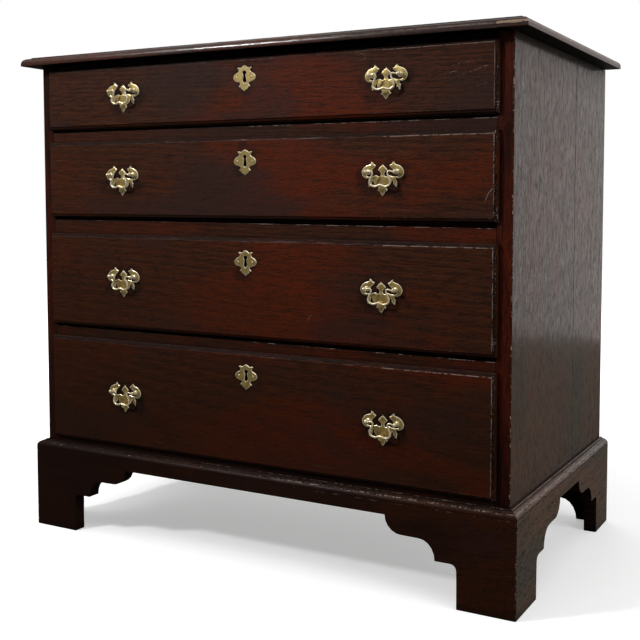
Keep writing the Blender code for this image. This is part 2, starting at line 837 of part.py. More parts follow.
def make_handle(number, hand, across, post_z, front, body):
    """Handle plate with its two posts, screwed through a drawer front, and the bail."""
    name = f"handle_{number}_{hand}"
    half = [(x * plate_half_width, z * plate_height) for x, z in plate_outline_shares]
    loop = [*half, (0, plate_tip_share * plate_height), *mirrored(half[1:])]
    plate = outline_solid(name, [moved(loop, across, post_z)], "Y", plate_face_y, plate_back_y)
    hole_radius = post_shank_radius + post_hole_play
    depths = (face_y - overrun, front_back_y + overrun)
    for side, sign in (("left", -1), ("right", 1)):
        x = across + sign * post_half_spread
        place = Vector((x, plate_face_y, post_z))
        fuse(plate, turned(f"{name}_post_{side}", post_profile(), place, post_sides))
        cut(front, rod(f"{name}_hole_{side}", hole_radius, "Y", *depths, x, post_z, post_sides))
    head_edge = post_half_spread - post_head_radius
    inner = (head_edge - post_head_radius, head_edge + bail_entry + bail_seat_play)
    socket_radius = bail_radius + bail_hole_play
    for side, sign in (("left", -1), ("right", 1)):
        ends = sorted((across + sign * inner[0], across + sign * inner[1]))
        socket = rod(
            f"{name}_bail_hole_{side}", socket_radius, "X", *ends, pivot_y, post_z, post_sides
        )
        cut(plate, socket)
    metal(plate, pale_brass, body)
    make_bail(f"bail_{number}_{hand}", across, post_z, head_edge, body)


def make_bail(name, across, post_z, head_edge, body):
    """Bail that hangs between a plate's two posts, its bar thicker than its arms."""
    curve = bpy.data.curves.new(name, "CURVE")
    curve.dimensions = "3D"
    curve.bevel_depth = bail_radius
    curve.bevel_resolution = 1
    curve.use_fill_caps = True
    right = [(x * post_half_spread, z * bail_drop) for x, z in bail_outline_shares]
    right = [(head_edge + bail_entry, 0), *right]
    route = [*right, *mirrored(right)]
    spline = curve.splines.new("POLY")
    spline.points.add(len(route) - 1)
    for point, (x, z) in zip(spline.points, route):
        point.co = (x, 0, z, 1)
        thicker = (bail_bar_share - bail_arm_share) * min(1, max(0, -z / bail_drop))
        point.radius = bail_arm_share + thicker
    guide = bpy.data.objects.new(name + "_guide", curve)
    guide.matrix_world = Matrix.Translation((across, pivot_y, post_z))
    metal(curve_to_mesh(guide, name), pale_brass, body)


def make_chest():
    """The whole chest, from the top down."""
    levels = face_levels()
    carcass = body_empty("carcass", (0, 0, 0))
    make_top(carcass)
    make_carcass(carcass, levels)
    make_plinth(carcass)
    for number, (top, foot) in enumerate(levels, 1):
        make_drawer(number, top, foot)


empty_scene()
chest = new_group("chest_of_drawers")
cutters = new_group("cutters")
make_chest()
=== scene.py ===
"""Looks of an oak chest of four long drawers on bracket feet.

Metres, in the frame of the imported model: +Z up, the drawers face -Y and +X is to the right.
Drawer 1 is the top one.
"""

import logging
import math
import random
from collections.abc import Iterable, Sequence
from dataclasses import astuple, dataclass, field, replace
from enum import Enum
from functools import reduce
from typing import Any

import bmesh
import bpy
from mathutils import Matrix, Vector


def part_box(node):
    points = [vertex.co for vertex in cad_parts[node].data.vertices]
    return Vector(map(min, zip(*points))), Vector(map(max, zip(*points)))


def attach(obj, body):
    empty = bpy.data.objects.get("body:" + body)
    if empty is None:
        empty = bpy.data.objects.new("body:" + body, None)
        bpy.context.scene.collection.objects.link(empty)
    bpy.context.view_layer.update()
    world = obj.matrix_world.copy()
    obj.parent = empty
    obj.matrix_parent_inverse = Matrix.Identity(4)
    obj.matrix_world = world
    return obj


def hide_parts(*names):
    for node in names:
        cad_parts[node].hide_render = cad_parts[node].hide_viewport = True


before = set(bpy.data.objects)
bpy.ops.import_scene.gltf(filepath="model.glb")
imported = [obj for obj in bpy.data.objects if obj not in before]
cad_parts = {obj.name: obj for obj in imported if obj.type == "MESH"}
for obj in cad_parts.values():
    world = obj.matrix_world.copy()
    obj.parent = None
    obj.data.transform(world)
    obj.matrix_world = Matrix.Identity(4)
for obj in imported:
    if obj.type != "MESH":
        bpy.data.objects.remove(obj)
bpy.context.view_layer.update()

Colour = tuple[float, float, float]
Place = tuple[float, float, float]
Point = tuple[float, float]
Socket = bpy.types.NodeSocket
Shape = bmesh.types.BMesh
Mesh = bpy.types.Mesh
Material = bpy.types.Material
Node = bpy.types.Node
Value = Socket | float | Sequence[float] | bpy.types.ID

log = logging.getLogger("chest")

MERGE = 0.00001
FLAT_ANGLE = math.radians(0.5)
ARRIS_ANGLE = math.radians(40)
SHARP_ANGLE = math.radians(38)
SQUARE_ON = 0.9
PLATE_STAND = 0.0003
SHANK_END = 0.0030


class Board(Enum):
    """How a board lies: the axes along its grain, through its thickness and across its width."""

    FRONT = ("X", "Y", "Z")
    FLAT = ("X", "Z", "Y")
    UPRIGHT = ("Z", "X", "Y")
    STILE = ("Z", "Y", "X")
    RUN = ("Y", "X", "Z")
    FLAT_RUN = ("Y", "Z", "X")


class Hand(Enum):
    """Side of the chest, and its sign along X."""

    LEFT = -1
    RIGHT = 1

    @property
    def word(self) -> str:
        """The side's name in lower case."""
        return self.name.lower()


class NodeDesk:
    """Places and wires the nodes of one tree."""

    def __init__(self, tree: bpy.types.NodeTree) -> None:
        """Takes a tree and clears it."""
        self.tree = tree
        tree.nodes.clear()

    def add(self, kind: str, inputs: dict[str | int, Value] | None = None, **settings: Any) -> Any:
        """Places a node.

        Args:
            kind: Type of the node.
            inputs: What each input takes, by its name or its place: a socket or a value.
            settings: Properties of the node, set before its inputs.

        Returns:
            The new node.
        """
        node = self.tree.nodes.new(kind)
        for name, value in settings.items():
            setattr(node, name, value)
        for name, value in (inputs or {}).items():
            self.feed(self.input(node, name), value)
        return node

    @staticmethod
    def input(node: Node, name: str | int) -> Socket:
        """Finds an input that is in use, by its name or its place.

        Args:
            node: The node.
            name: Name or place of the input.

        Returns:
            The input's socket.
        """
        if isinstance(name, int):
            return node.inputs[name]
        return next(s for s in node.inputs if s.name == name and s.enabled)

    def feed(self, socket: Socket, value: Value) -> None:
        """Wires a socket to an input, or sets the input to a value.

        Args:
            socket: The input.
            value: Another socket, or a value.
        """
        if isinstance(value, bpy.types.NodeSocket):
            self.tree.links.new(value, socket)
        elif socket.type == "RGBA" and len(value) == 3:
            socket.default_value = (*value, 1.0)
        else:
            socket.default_value = value

    def math(self, operation: str, first: Value, second: Value = 0.0, clamp: bool = False) -> Socket:
        """One sum of two numbers.

        Args:
            operation: Name of the sum.
            first: First number.
            second: Second number, where the sum has one.
            clamp: Whether the result stays from 0 to 1.

        Returns:
            The result.
        """
        node = self.add("ShaderNodeMath", {0: first, 1: second}, operation=operation)
        node.use_clamp = clamp
        return node.outputs[0]

    def times(self, *factors: Value) -> Socket:
        """Multiplies numbers."""
        return reduce(lambda first, second: self.math("MULTIPLY", first, second), factors)

    def plus(self, *parts: Value) -> Socket:
        """Adds numbers up."""
        return reduce(lambda first, second: self.math("ADD", first, second), parts)

    def less(self, first: Value, second: Value) -> Socket:
        """Takes the second number from the first."""
        return self.math("SUBTRACT", first, second)

    def most(self, *numbers: Value) -> Socket:
        """Finds the greatest of several numbers."""
        return reduce(lambda first, second: self.math("MAXIMUM", first, second), numbers)

    def vector(self, operation: str, first: Value, second: Value = (0.0, 0.0, 0.0)) -> Socket:
        """One sum of two vectors, whose result is a number for a dot product or a length."""
        node = self.add("ShaderNodeVectorMath", {0: first, 1: second}, operation=operation)
        return node.outputs[1 if operation in ("DOT_PRODUCT", "LENGTH") else 0]

    def fade(self, value: Value, low: Value, high: Value, start: float = 0.0, end: float = 1.0) -> Socket:
        """Turns a stretch of a value into a soft step.

        Args:
            value: What is read.
            low: Where the step starts.
            high: Where the step ends.
            start: Result at and before the start.
            end: Result at and after the end.

        Returns:
            The step.
        """
        ends = {1: low, 2: high, 3: start, 4: end}
        node = self.add("ShaderNodeMapRange", {0: value, **ends}, interpolation_type="SMOOTHSTEP")
        return node.outputs[0]

    def mix(self, share: Value, first: Value, second: Value) -> Socket:
        """Mixes two colours.

        Args:
            share: Share of the second colour.
            first: First colour.
            second: Second colour.

        Returns:
            The mixed colour.
        """
        node = self.add("ShaderNodeMix", data_type="RGBA", blend_type="MIX")
        self.feed(node.inputs[0], share)
        self.feed(node.inputs[6], first)
        self.feed(node.inputs[7], second)
        return node.outputs[2]

    def noise(self, place: Socket, scale: Value, detail: float = 2.0, rough: float = 0.5) -> Socket:
        """Cloudy numbers round 0.5, with so many clouds in a metre."""
        inputs = {"Vector": place, "Scale": scale, "Detail": detail, "Roughness": rough}
        return self.add("ShaderNodeTexNoise", inputs).outputs[0]

    def clouds(self, *settings: Value) -> Socket:
        """Cloudy vectors, set like noise."""
        return self.noise(*settings).node.outputs[1]

    def sway(self, *settings: Value) -> Socket:
        """Cloudy vectors round zero, set like noise."""
        return self.vector("SUBTRACT", self.clouds(*settings), (0.5, 0.5, 0.5))

    def stretch(self, place: Socket, scale: Sequence[float], turn: float = 0.0) -> Socket:
        """Stretches coordinates along each axis, and turns them round Z."""
        inputs = {"Vector": place, "Scale": tuple(scale), "Rotation": (0.0, 0.0, turn)}
        return self.add("ShaderNodeMapping", inputs).outputs[0]

    def spread(self, place: Socket) -> dict[str, Socket]:
        """Splits a vector into numbers, by the letter of their axis."""
        node = self.add("ShaderNodeSeparateXYZ", {0: place})
        return dict(zip("XYZ", node.outputs))

    def gather(self, parts: Sequence[Value]) -> Socket:
        """Joins the numbers along X, Y and Z to a vector."""
        return self.add("ShaderNodeCombineXYZ", dict(enumerate(parts))).outputs[0]


SOCKET_KINDS = {
    "number": "NodeSocketFloat",
    "count": "NodeSocketInt",
    "vector": "NodeSocketVector",
    "colour": "NodeSocketColor",
    "finish": "NodeSocketMaterial",
    "shape": "NodeSocketGeometry",
}


class NodeGroup:
    """A node group, with its named inputs and outputs."""

    def __init__(self, name: str, kind: str, inputs: dict[str, str | float], outputs: dict[str, str]) -> None:
        """Makes the group and its sockets.

        Args:
            name: Name of the group.
            kind: Type of its tree.
            inputs: Kind of each input, or the number or count that it starts with, by name.
            outputs: Kind of each output, by name.
        """
        self.tree = bpy.data.node_groups.new(name, kind)
        self.desk = NodeDesk(self.tree)
        for label, value in inputs.items():
            plain = "count" if isinstance(value, int) else "number"
            made = self._socket(label, "INPUT", value if isinstance(value, str) else plain)
            if not isinstance(value, str):
                made.default_value = value
        for label, socket_kind in outputs.items():
            self._socket(label, "OUTPUT", socket_kind)
        source = self.desk.add("NodeGroupInput")
        self.given = {s.name: s for s in source.outputs if s.name}
        self.sink = self.desk.add("NodeGroupOutput")

    def _socket(self, label: str, in_out: str, kind: str) -> Any:
        """Makes one socket of the group."""
        return self.tree.interface.new_socket(label, in_out=in_out, socket_type=SOCKET_KINDS[kind])

    def put(self, name: str, value: Socket) -> None:
        """Wires a socket to one of the group's outputs."""
        self.desk.feed(self.sink.inputs[name], value)

    def place(self, desk: NodeDesk, inputs: dict[str, Value]) -> dict[str, Socket]:
        """Places the group in a material.

        Args:
            desk: Desk of the material's tree.
            inputs: What each input takes, by name.

        Returns:
            The group's outputs there, by name.
        """
        node = desk.add("ShaderNodeGroup", node_tree=self.tree)
        for name, value in inputs.items():
            desk.feed(node.inputs[name], value)
        return {s.name: s for s in node.outputs}


@dataclass(frozen=True)
class Mark:
    """A line on a board, with so many breaks in a metre and a share left: an old scratch, a row of chips, a
    painted highlight, or a dark line, which is dirt along a joint, painted shade in a groove or on a slope,
    and dirt with painted shadow round a brass plate.
    """

    start: Place
    end: Place
    width: float = 0.0008
    breaks: float = 120.0
    share: float = 0.6
    strength: float = 0.7
    # True for a dark mark, which some boards use for dirt and others for painted shade.
    dirt: bool = False

    def inputs(self) -> dict[str, Value]:
        """What the node group of marks takes."""
        return dict(zip(("Start", "End", "Width", "Breaks", "Share", "Strength"), astuple(self)))


class Effects:
    """Node groups that several finishes share, each built once."""

    def __init__(self) -> None:
        """Builds all the groups."""
        self.figure = self._figure()
        self.mark = self._mark()
        self.rub = self._rub()
        self.grime = self._grime()
        self.scuffs = self._scuffs()
        self.dust = self._dust()

    @staticmethod
    def _figure() -> NodeGroup:
        """Builds the oak figure, whose grain runs along the first axis.

        Returns:
            The group: years, streaks, pores and patches of oak.
        """
        inputs = {
            "Place": "vector",
            "Ring Width": 0.0032,
            "Heart Depth": 0.16,
            "Heart Side": 0.03,
            "Waviness": 0.009,
            "Pore Scale": 760.0,
            "Streak Scale": 330.0,
        }
        outputs = {"Years": "number", "Streaks": "number", "Pores": "number", "Patches": "vector"}
        group = NodeGroup("oak_figure", "ShaderNodeTree", inputs, outputs)
        desk, given = group.desk, group.given
        sway = desk.sway(desk.stretch(given["Place"], (1.7, 6.0, 6.0)), 1.0)
        amount = desk.gather((0.0, given["Waviness"], given["Waviness"]))
        bent = desk.vector("ADD", given["Place"], desk.vector("MULTIPLY", sway, amount))
        along = desk.spread(bent)
        depth = desk.less(along["Y"], given["Heart Depth"])
        side = desk.less(along["Z"], given["Heart Side"])
        reach = desk.vector("LENGTH", desk.gather((0.0, depth, side)))
        turns = desk.math("DIVIDE", desk.plus(reach, desk.times(along["X"], 0.014)), given["Ring Width"])
        saw = desk.math("FRACT", turns)
        late_share = 0.76
        rise = desk.math("DIVIDE", saw, late_share)
        fall = desk.math("DIVIDE", desk.less(1.0, saw), 1.0 - late_share)
        years = desk.math("MINIMUM", rise, fall, clamp=True)
        streaks = desk.noise(desk.stretch(bent, (0.09, 1.0, 1.0)), given["Streak Scale"], 4.0, 0.75)
        fine = desk.noise(desk.stretch(bent, (0.15, 1.0, 1.0)), given["Pore Scale"], 2.0, 0.6)
        open_years = desk.less(1.1, desk.times(years, 0.6))
        pores = desk.math("MULTIPLY", desk.fade(fine, 0.51, 0.61), open_years, clamp=True)
        group.put("Years", years)
        group.put("Streaks", streaks)
        group.put("Pores", pores)
        group.put("Patches", desk.clouds(desk.stretch(given["Place"], (2.6, 7.0, 7.0)), 1.0, 3.0, 0.55))
        return group

    @staticmethod
    def _mark() -> NodeGroup:
        """Builds one mark: a line between two points, broken up, fading to its sides, which draws scratches,
        chips, dirt, painted highlights and painted shade.

        Returns:
            The group.
        """
        inputs = {
            "Place": "vector",
            "Start": "vector",
            "End": "vector",
            "Width": 0.0008,
            "Breaks": 120.0,
            "Share": 0.6,
            "Strength": 0.7,
        }
        group = NodeGroup("old_mark", "ShaderNodeTree", inputs, {"Mask": "number"})
        desk, given = group.desk, group.given
        sway = desk.sway(given["Place"], 45.0, 3.0, 0.6)
        sway = desk.vector("MULTIPLY", sway, desk.gather((given["Width"],) * 3))
        place = desk.vector("ADD", given["Place"], sway)
        line = desk.vector("SUBTRACT", given["End"], given["Start"])
        away = desk.vector("SUBTRACT", place, given["Start"])
        length_squared = desk.vector("DOT_PRODUCT", line, line)
        share = desk.math("DIVIDE", desk.vector("DOT_PRODUCT", away, line), length_squared, clamp=True)
        nearest = desk.vector("MULTIPLY", line, desk.gather((share, share, share)))
        distance = desk.vector("LENGTH", desk.vector("SUBTRACT", away, nearest))
        half = desk.times(given["Width"], 0.5)
        near = desk.fade(distance, half, desk.times(half, 0.45))
        cloud = desk.noise(given["Place"], given["Breaks"], 4.0, 0.7)
        low = desk.less(0.72, desk.times(given["Share"], 0.44))
        kept = desk.fade(cloud, low, desk.plus(low, 0.05))
        group.put("Mask", desk.times(near, kept, given["Strength"]))
        return group

    @staticmethod
    def _rub() -> NodeGroup:
        """Builds the rubbed arrises, worn and with a painted highlight: where a rounded edge's normal leaves
        the face's own.

        Returns:
            The group.
        """
        inputs = {"Place": "vector", "Reach": 0.0018, "Break-up": 240.0, "Amount": 0.5}
        group = NodeGroup("rubbed_arrises", "ShaderNodeTree", inputs, {"Mask": "number"})
        desk, given = group.desk, group.given
        rounded = desk.add("ShaderNodeBevel", {"Radius": given["Reach"]}, samples=6).outputs[0]
        own = desk.add("ShaderNodeNewGeometry").outputs[1]
        bend = desk.less(1.0, desk.vector("DOT_PRODUCT", rounded, own))
        room = desk.add("ShaderNodeAmbientOcclusion", {"Distance": given["Reach"]}, samples=4)
        edge = desk.times(desk.fade(bend, 0.01, 0.16), desk.fade(room.outputs[1], 0.55, 0.85))
        chips = desk.noise(given["Place"], given["Break-up"], 4.0, 0.6)
        chip_share = 0.62
        broad = desk.times(desk.noise(given["Place"], 7.0, 2.0), 1 - chip_share)
        both = desk.plus(desk.times(chips, chip_share), broad)
        level = desk.less(0.86, desk.times(given["Amount"], 0.62))
        group.put("Mask", desk.times(edge, desk.fade(both, level, desk.plus(level, 0.06))))
        return group

    @staticmethod
    def _grime() -> NodeGroup:
        """Builds dirt with painted shade: darker where little light gets in, and darker on faces that look
        down.

        Returns:
            The group.
        """
        inputs = {"Place": "vector", "Reach": 0.012, "Amount": 0.7, "Underside": 0.0}
        group = NodeGroup("grime", "ShaderNodeTree", inputs, {"Mask": "number"})
        desk, given = group.desk, group.given
        room = desk.add("ShaderNodeAmbientOcclusion", {"Distance": given["Reach"]}, samples=6)
        # Dirt with painted shade, where little light reaches.
        closed = desk.fade(room.outputs[1], 0.97, 0.52)
        cloud = desk.fade(desk.noise(given["Place"], 60.0, 3.0), 0.25, 0.65)
        patchy = desk.times(closed, desk.plus(0.55, desk.times(cloud, 0.45)))
        normal = desk.spread(desk.add("ShaderNodeNewGeometry").outputs[1])
        # Painted shade on faces that look down.
        underside_shade_mask = desk.times(desk.fade(normal["Z"], -0.7, -0.95), given["Underside"])
        dirt = desk.math("MULTIPLY", patchy, given["Amount"], clamp=True)
        group.put("Mask", desk.most(dirt, underside_shade_mask))
        return group

    @staticmethod
    def _scuffs() -> NodeGroup:
        """Builds scratches, which are thin lines across slow clouds, and specks.

        Returns:
            The group.
        """
        outputs = {"Scratches": "number", "Specks": "number"}
        group = NodeGroup("scuffs", "ShaderNodeTree", {"Place": "vector"}, outputs)
        desk, given = group.desk, group.given
        lines = []
        for turn, scale in ((0.5, 3.1), (2.2, 4.3)):
            slanted = desk.stretch(given["Place"], (scale * 0.5, scale * 8.0, scale * 8.0), turn)
            away = desk.math("ABSOLUTE", desk.less(desk.noise(slanted, 1.0, 0.0), 0.5))
            thin = desk.fade(away, 0.0014, 0.0004)
            gate = desk.fade(desk.noise(given["Place"], scale * 3.0, 2.0), 0.64, 0.74)
            lines.append(desk.times(thin, gate))
        group.put("Scratches", desk.most(*lines))
        ragged = desk.noise(given["Place"], 700.0, 2.0, 0.6)
        drift = desk.vector("SCALE", desk.gather((ragged, ragged, ragged)))
        drift.node.inputs[3].default_value = 0.0022
        uneven = desk.vector("ADD", given["Place"], drift)
        dots = desk.add("ShaderNodeTexVoronoi", {"Vector": uneven, "Scale": 110.0})
        chosen = desk.math("GREATER_THAN", desk.spread(dots.outputs[1])["X"], 0.955)
        group.put("Specks", desk.times(desk.fade(dots.outputs[0], 0.085, 0.03), chosen))
        return group

    @staticmethod
    def _dust() -> NodeGroup:
        """Builds the dust on faces that look up.

        Returns:
            The group.
        """
        inputs = {"Place": "vector", "Amount": 0.3}
        group = NodeGroup("dust", "ShaderNodeTree", inputs, {"Mask": "number"})
        desk, given = group.desk, group.given
        normal = desk.spread(desk.add("ShaderNodeNewGeometry").outputs[1])
        upward = desk.fade(normal["Z"], 0.6, 0.95)
        cloud = desk.fade(desk.noise(given["Place"], 140.0, 6.0, 0.7), 0.36, 0.70)
        group.put("Mask", desk.times(upward, cloud, given["Amount"]))
        return group


effects = Effects()


def new_material(name: str) -> tuple[Material, NodeDesk, Socket]:
    """Starts a material.

    Args:
        name: Name of the material.

    Returns:
        The material, the desk of its tree and its object coordinates.
    """
    material = bpy.data.materials.new(name)
    material.use_nodes = True
    desk = NodeDesk(material.node_tree)
    place = desk.add("ShaderNodeTexCoord").outputs["Object"]
    return material, desk, place


def end_material(desk: NodeDesk, shader: Socket) -> None:
    """Wires a shader to the material's surface."""
    desk.add("ShaderNodeOutputMaterial", {"Surface": shader})


@dataclass(frozen=True)
class OakFinish:
    """Oak under an old, dark, rubbed varnish, or bare.

    Streaks run from dark to main, with warm and cool patches over them, and the worn colour is the wood where
    the finish has gone; it also paints highlights along lips and mouldings. At the left end of the chest the
    warm patches lose warm_gain of their strength. Each arris is rubbed by wear there and by the wear gain
    more at the right end, which is wear with a painted highlight. The streaks dull the varnish by
    streak_dull. Dirt and painted shade spread from a corner by their reach, faces that look down take painted
    shade by the underside share, dust lies on faces that look up, and low_shade and left_shade paint shade,
    darkening the wood near the floor and at the left end. Scales are in rows or streaks to a metre, and
    relief is the depth of the grain.
    """

    name: str
    dark: Colour
    main: Colour
    warm: Colour
    cool: Colour
    pore: Colour
    worn: Colour
    warm_share: float = 0.8
    warm_gain: float = 0.0
    cool_share: float = 0.5
    pore_share: float = 0.7
    pore_scale: float = 640.0
    streak_scale: float = 360.0
    wear: float = 0.16
    wear_gain: float = 0.34
    scuff_share: float = 0.4
    dust_share: float = 0.14
    grime_share: float = 0.75
    grime_reach: float = 0.016
    underside: float = 0.9
    streak_dull: float = 0.5
    low_shade: float = 0.0
    left_shade: float = 0.0
    roughness: float = 0.44
    gloss: float = 0.20
    coat: float = 0.04
    coat_roughness: float = 0.30
    ring_width: float = 0.0032
    relief: float = 0.00022

    def material(self, board: Board, seed: int, marks: Sequence[Mark] = ()) -> Material:
        """Makes the material of one board.

        Args:
            board: How the board lies.
            seed: Number of the board, which picks its place in the log.
            marks: Its old scratches, rows of chips, painted highlight lines, and lines of dirt and painted
                shade.

        Returns:
            The material.
        """
        material, desk, place = new_material(f"{self.name}_{board.name.lower()}_{seed}")
        draw = random.Random(seed)
        shift = tuple(draw.uniform(-3.0, 3.0) for _ in range(3))
        moved = desk.add("ShaderNodeMapping", {"Vector": place, "Location": shift}).outputs[0]
        parts = desk.spread(moved)
        turned = desk.gather([parts[letter] for letter in board.value])
        heart = shift["XYZ".index(board.value[1])], shift["XYZ".index(board.value[2])]
        figure_inputs = {
            "Place": turned,
            "Ring Width": self.ring_width * draw.uniform(0.85, 1.25),
            "Heart Depth": heart[0] + draw.choice((-1, 1)) * draw.uniform(0.75, 0.95),
            "Heart Side": heart[1] + draw.uniform(0.1, 0.5),
            "Pore Scale": self.pore_scale,
            "Streak Scale": self.streak_scale,
        }
        figure = effects.figure.place(desk, figure_inputs)
        across = desk.spread(place)["X"]
        tone = self._tone(desk, place, figure)
        grime, scars_and_highlights = self._dirt_and_scars(desk, place, turned, marks)
        # Dirt and painted shade: darker in corners, under the overhangs and on faces that look down.
        tone = desk.mix(grime, tone, tuple(channel * 0.22 for channel in self.dark))
        # Scratches and chips, and pale lines that paint highlights along lips and mouldings.
        tone = desk.mix(scars_and_highlights, tone, self.worn)
        # Arrises rubbed pale, more at the right end: wear with a painted highlight.
        rub_and_highlight_level = desk.fade(across, -0.45, 0.50, self.wear, self.wear + self.wear_gain)
        rub = effects.rub.place(desk, {"Place": turned, "Amount": rub_and_highlight_level})["Mask"]
        tone = desk.mix(rub, tone, self.worn)
        dust = effects.dust.place(desk, {"Place": place, "Amount": self.dust_share})["Mask"]
        rough = desk.plus(desk.times(figure["Streaks"], 0.22), self.roughness - 0.11)
        for mask, gain in ((rub, 0.22), (dust, 0.3), (figure["Pores"], 0.12), (scars_and_highlights, 0.15), (grime, 0.3)):
            rough = desk.plus(rough, desk.times(mask, gain))
        height = desk.plus(desk.times(figure["Pores"], -0.7), desk.times(figure["Streaks"], 0.8))
        height = desk.less(desk.less(height, desk.times(scars_and_highlights, 0.5)), desk.times(rub, 0.4))
        wave = desk.noise(desk.stretch(turned, (2.5, 9.0, 9.0)), 1.0, 1.0)
        slow = desk.add("ShaderNodeBump", {"Strength": 0.35, "Distance": 0.004, "Height": wave})
        inputs = {"Strength": 0.6, "Distance": self.relief, "Height": height, "Normal": slow.outputs[0]}
        bare = desk.most(rub, dust, desk.times(figure["Pores"], 0.85))
        dulled = desk.fade(figure["Streaks"], 0.40, 0.62, 0.0, self.streak_dull)
        lost = desk.most(bare, desk.most(dulled, grime))
        varnish = desk.math("SUBTRACT", 1.0, lost, clamp=True)
        inputs = {
            "Base Color": desk.mix(dust, tone, (0.16, 0.14, 0.125)),
            "Roughness": rough,
            "Normal": desk.add("ShaderNodeBump", inputs).outputs[0],
            "Specular IOR Level": self.gloss,
            "Coat Weight": desk.times(varnish, self.coat),
            "Coat Roughness": self.coat_roughness,
        }
        end_material(desk, desk.add("ShaderNodeBsdfPrincipled", inputs).outputs[0])
        return material

    def _tone(self, desk: NodeDesk, place: Socket, figure: dict[str, Socket]) -> Socket:
        """Colours the clean board: streaks, warm and greyish patches, painted shade near the floor and at the
        left end, and pores.

        Args:
            desk: Desk of the material's tree.
            place: Object coordinates.
            figure: What the oak figure gives.

        Returns:
            The colour.
        """
        axes = desk.spread(place)
        mottle = desk.plus(desk.times(figure["Streaks"], 0.90), desk.times(figure["Years"], 0.10))
        tone = desk.mix(desk.fade(mottle, 0.36, 0.62), self.dark, self.main)
        patches = desk.spread(figure["Patches"])
        warmth = desk.fade(axes["X"], -0.45, 0.25, self.warm_share * (1 - self.warm_gain), self.warm_share)
        depth = desk.fade(figure["Streaks"], 0.36, 0.60, 0.35, 1.0)
        warmth = desk.times(desk.fade(patches["X"], 0.43, 0.57), warmth, depth)
        tone = desk.mix(warmth, tone, self.warm)
        tone = desk.mix(desk.fade(patches["Y"], 0.48, 0.62, 0.0, self.cool_share), tone, self.cool)
        # Painted shade: darker towards the floor and at the left end of the chest.
        lowness = desk.fade(axes["Z"], 0.66, 0.12, 0.0, self.low_shade)
        leftness = desk.fade(axes["X"], 0.20, -0.50, 0.0, self.left_shade)
        shade = desk.math("ADD", lowness, leftness, clamp=True)
        tone = desk.mix(shade, tone, tuple(channel * 0.25 for channel in self.main))
        return desk.mix(desk.times(figure["Pores"], self.pore_share), tone, self.pore)

    def _dirt_and_scars(
        self, desk: NodeDesk, place: Socket, turned: Socket, marks: Sequence[Mark]
    ) -> tuple[Socket, Socket]:
        """Finds where dirt and painted shade lie, and where the finish has gone or a highlight is painted.

        Args:
            desk: Desk of the material's tree.
            place: Object coordinates.
            turned: The same, with the grain along the first axis.
            marks: The board's own scratches, chips, painted highlight lines, and lines of dirt and painted
                shade.

        Returns:
            The masks of dirt with painted shade, and of scars with painted highlights.
        """
        inputs = {"Reach": self.grime_reach, "Amount": self.grime_share, "Underside": self.underside}
        grime = effects.grime.place(desk, {"Place": turned, **inputs})["Mask"]
        scuffs = effects.scuffs.place(desk, {"Place": turned})
        scars_and_highlights = desk.times(desk.most(*scuffs.values()), self.scuff_share)
        for mark in marks:
            mask = effects.mark.place(desk, {"Place": place, **mark.inputs()})["Mask"]
            if mark.dirt:
                grime = desk.most(grime, mask)
            else:
                scars_and_highlights = desk.most(scars_and_highlights, mask)
        return grime, scars_and_highlights


@dataclass(frozen=True)
class MetalFinish:
    """Old cast brass, or iron, with a patina that is rubbed off its edges; on brass the rubbed colour also
    paints the rims' highlights.
    """

    name: str
    bright: Colour
    main: Colour
    dull: Colour
    bright_roughness: float
    dull_roughness: float
    rub_amount: float
    metallic: float = 1.0

    def material(self) -> Material:
        """Makes the material.

        Returns:
            The material.
        """
        material, desk, place = new_material(self.name)
        cloud = desk.noise(place, 140.0, 4.0, 0.6)
        tone = desk.mix(desk.fade(cloud, 0.38, 0.66), self.main, self.dull)
        inputs = {"Place": place, "Reach": 0.0012, "Break-up": 500.0, "Amount": self.rub_amount}
        # Edges rubbed to the bright colour: wear, with a painted highlight on the brass rims.
        rub = effects.rub.place(desk, inputs)["Mask"]
        tone = desk.mix(rub, tone, self.bright)
        grime = effects.grime.place(desk, {"Place": place, "Reach": 0.004, "Amount": 0.85})["Mask"]
        span = self.dull_roughness - self.bright_roughness
        rough = desk.plus(desk.times(desk.fade(cloud, 0.3, 0.7), span), self.bright_roughness)
        pits = desk.noise(place, 900.0, 3.0, 0.6)
        bump = desk.add("ShaderNodeBump", {"Strength": 0.35, "Distance": 0.0002, "Height": pits})
        lost = desk.most(desk.times(grime, 0.7), desk.times(rub, 0.35))
        inputs = {
            "Base Color": desk.mix(grime, tone, tuple(channel * 0.25 for channel in self.dull)),
            "Metallic": desk.math("SUBTRACT", self.metallic, lost, clamp=True),
            "Roughness": desk.plus(rough, desk.times(grime, 0.25)),
            "Normal": bump.outputs[0],
        }
        end_material(desk, desk.add("ShaderNodeBsdfPrincipled", inputs).outputs[0])
        return material


FRONT_OAK = OakFinish(
    name="front_oak",
    dark=(0.027, 0.0094, 0.0047),
    main=(0.077, 0.0220, 0.0082),
    warm=(0.124, 0.0160, 0.0024),
    cool=(0.036, 0.0175, 0.0150),
    pore=(0.012, 0.005, 0.003),
    worn=(0.50, 0.40, 0.34),
    pore_scale=820.0,
    warm_gain=0.75,
    warm_share=0.9,
    cool_share=0.7,
    scuff_share=0.22,
    low_shade=0.62,
    left_shade=0.2,
    roughness=0.36,
    gloss=0.09,
    coat=0.03,
    coat_roughness=0.20,
    relief=0.0003,
)
FRAME_OAK = OakFinish(
    name="frame_oak",
    dark=(0.016, 0.0055, 0.0030),
    main=(0.036, 0.0100, 0.0040),
    warm=(0.078, 0.0120, 0.0022),
    cool=(0.020, 0.0085, 0.0070),
    pore=(0.008, 0.004, 0.003),
    worn=(0.48, 0.38, 0.32),
    coat=0.02,
    wear=0.10,
    wear_gain=0.36,
    scuff_share=0.22,
    low_shade=0.62,
    roughness=0.36,
    gloss=0.08,
)
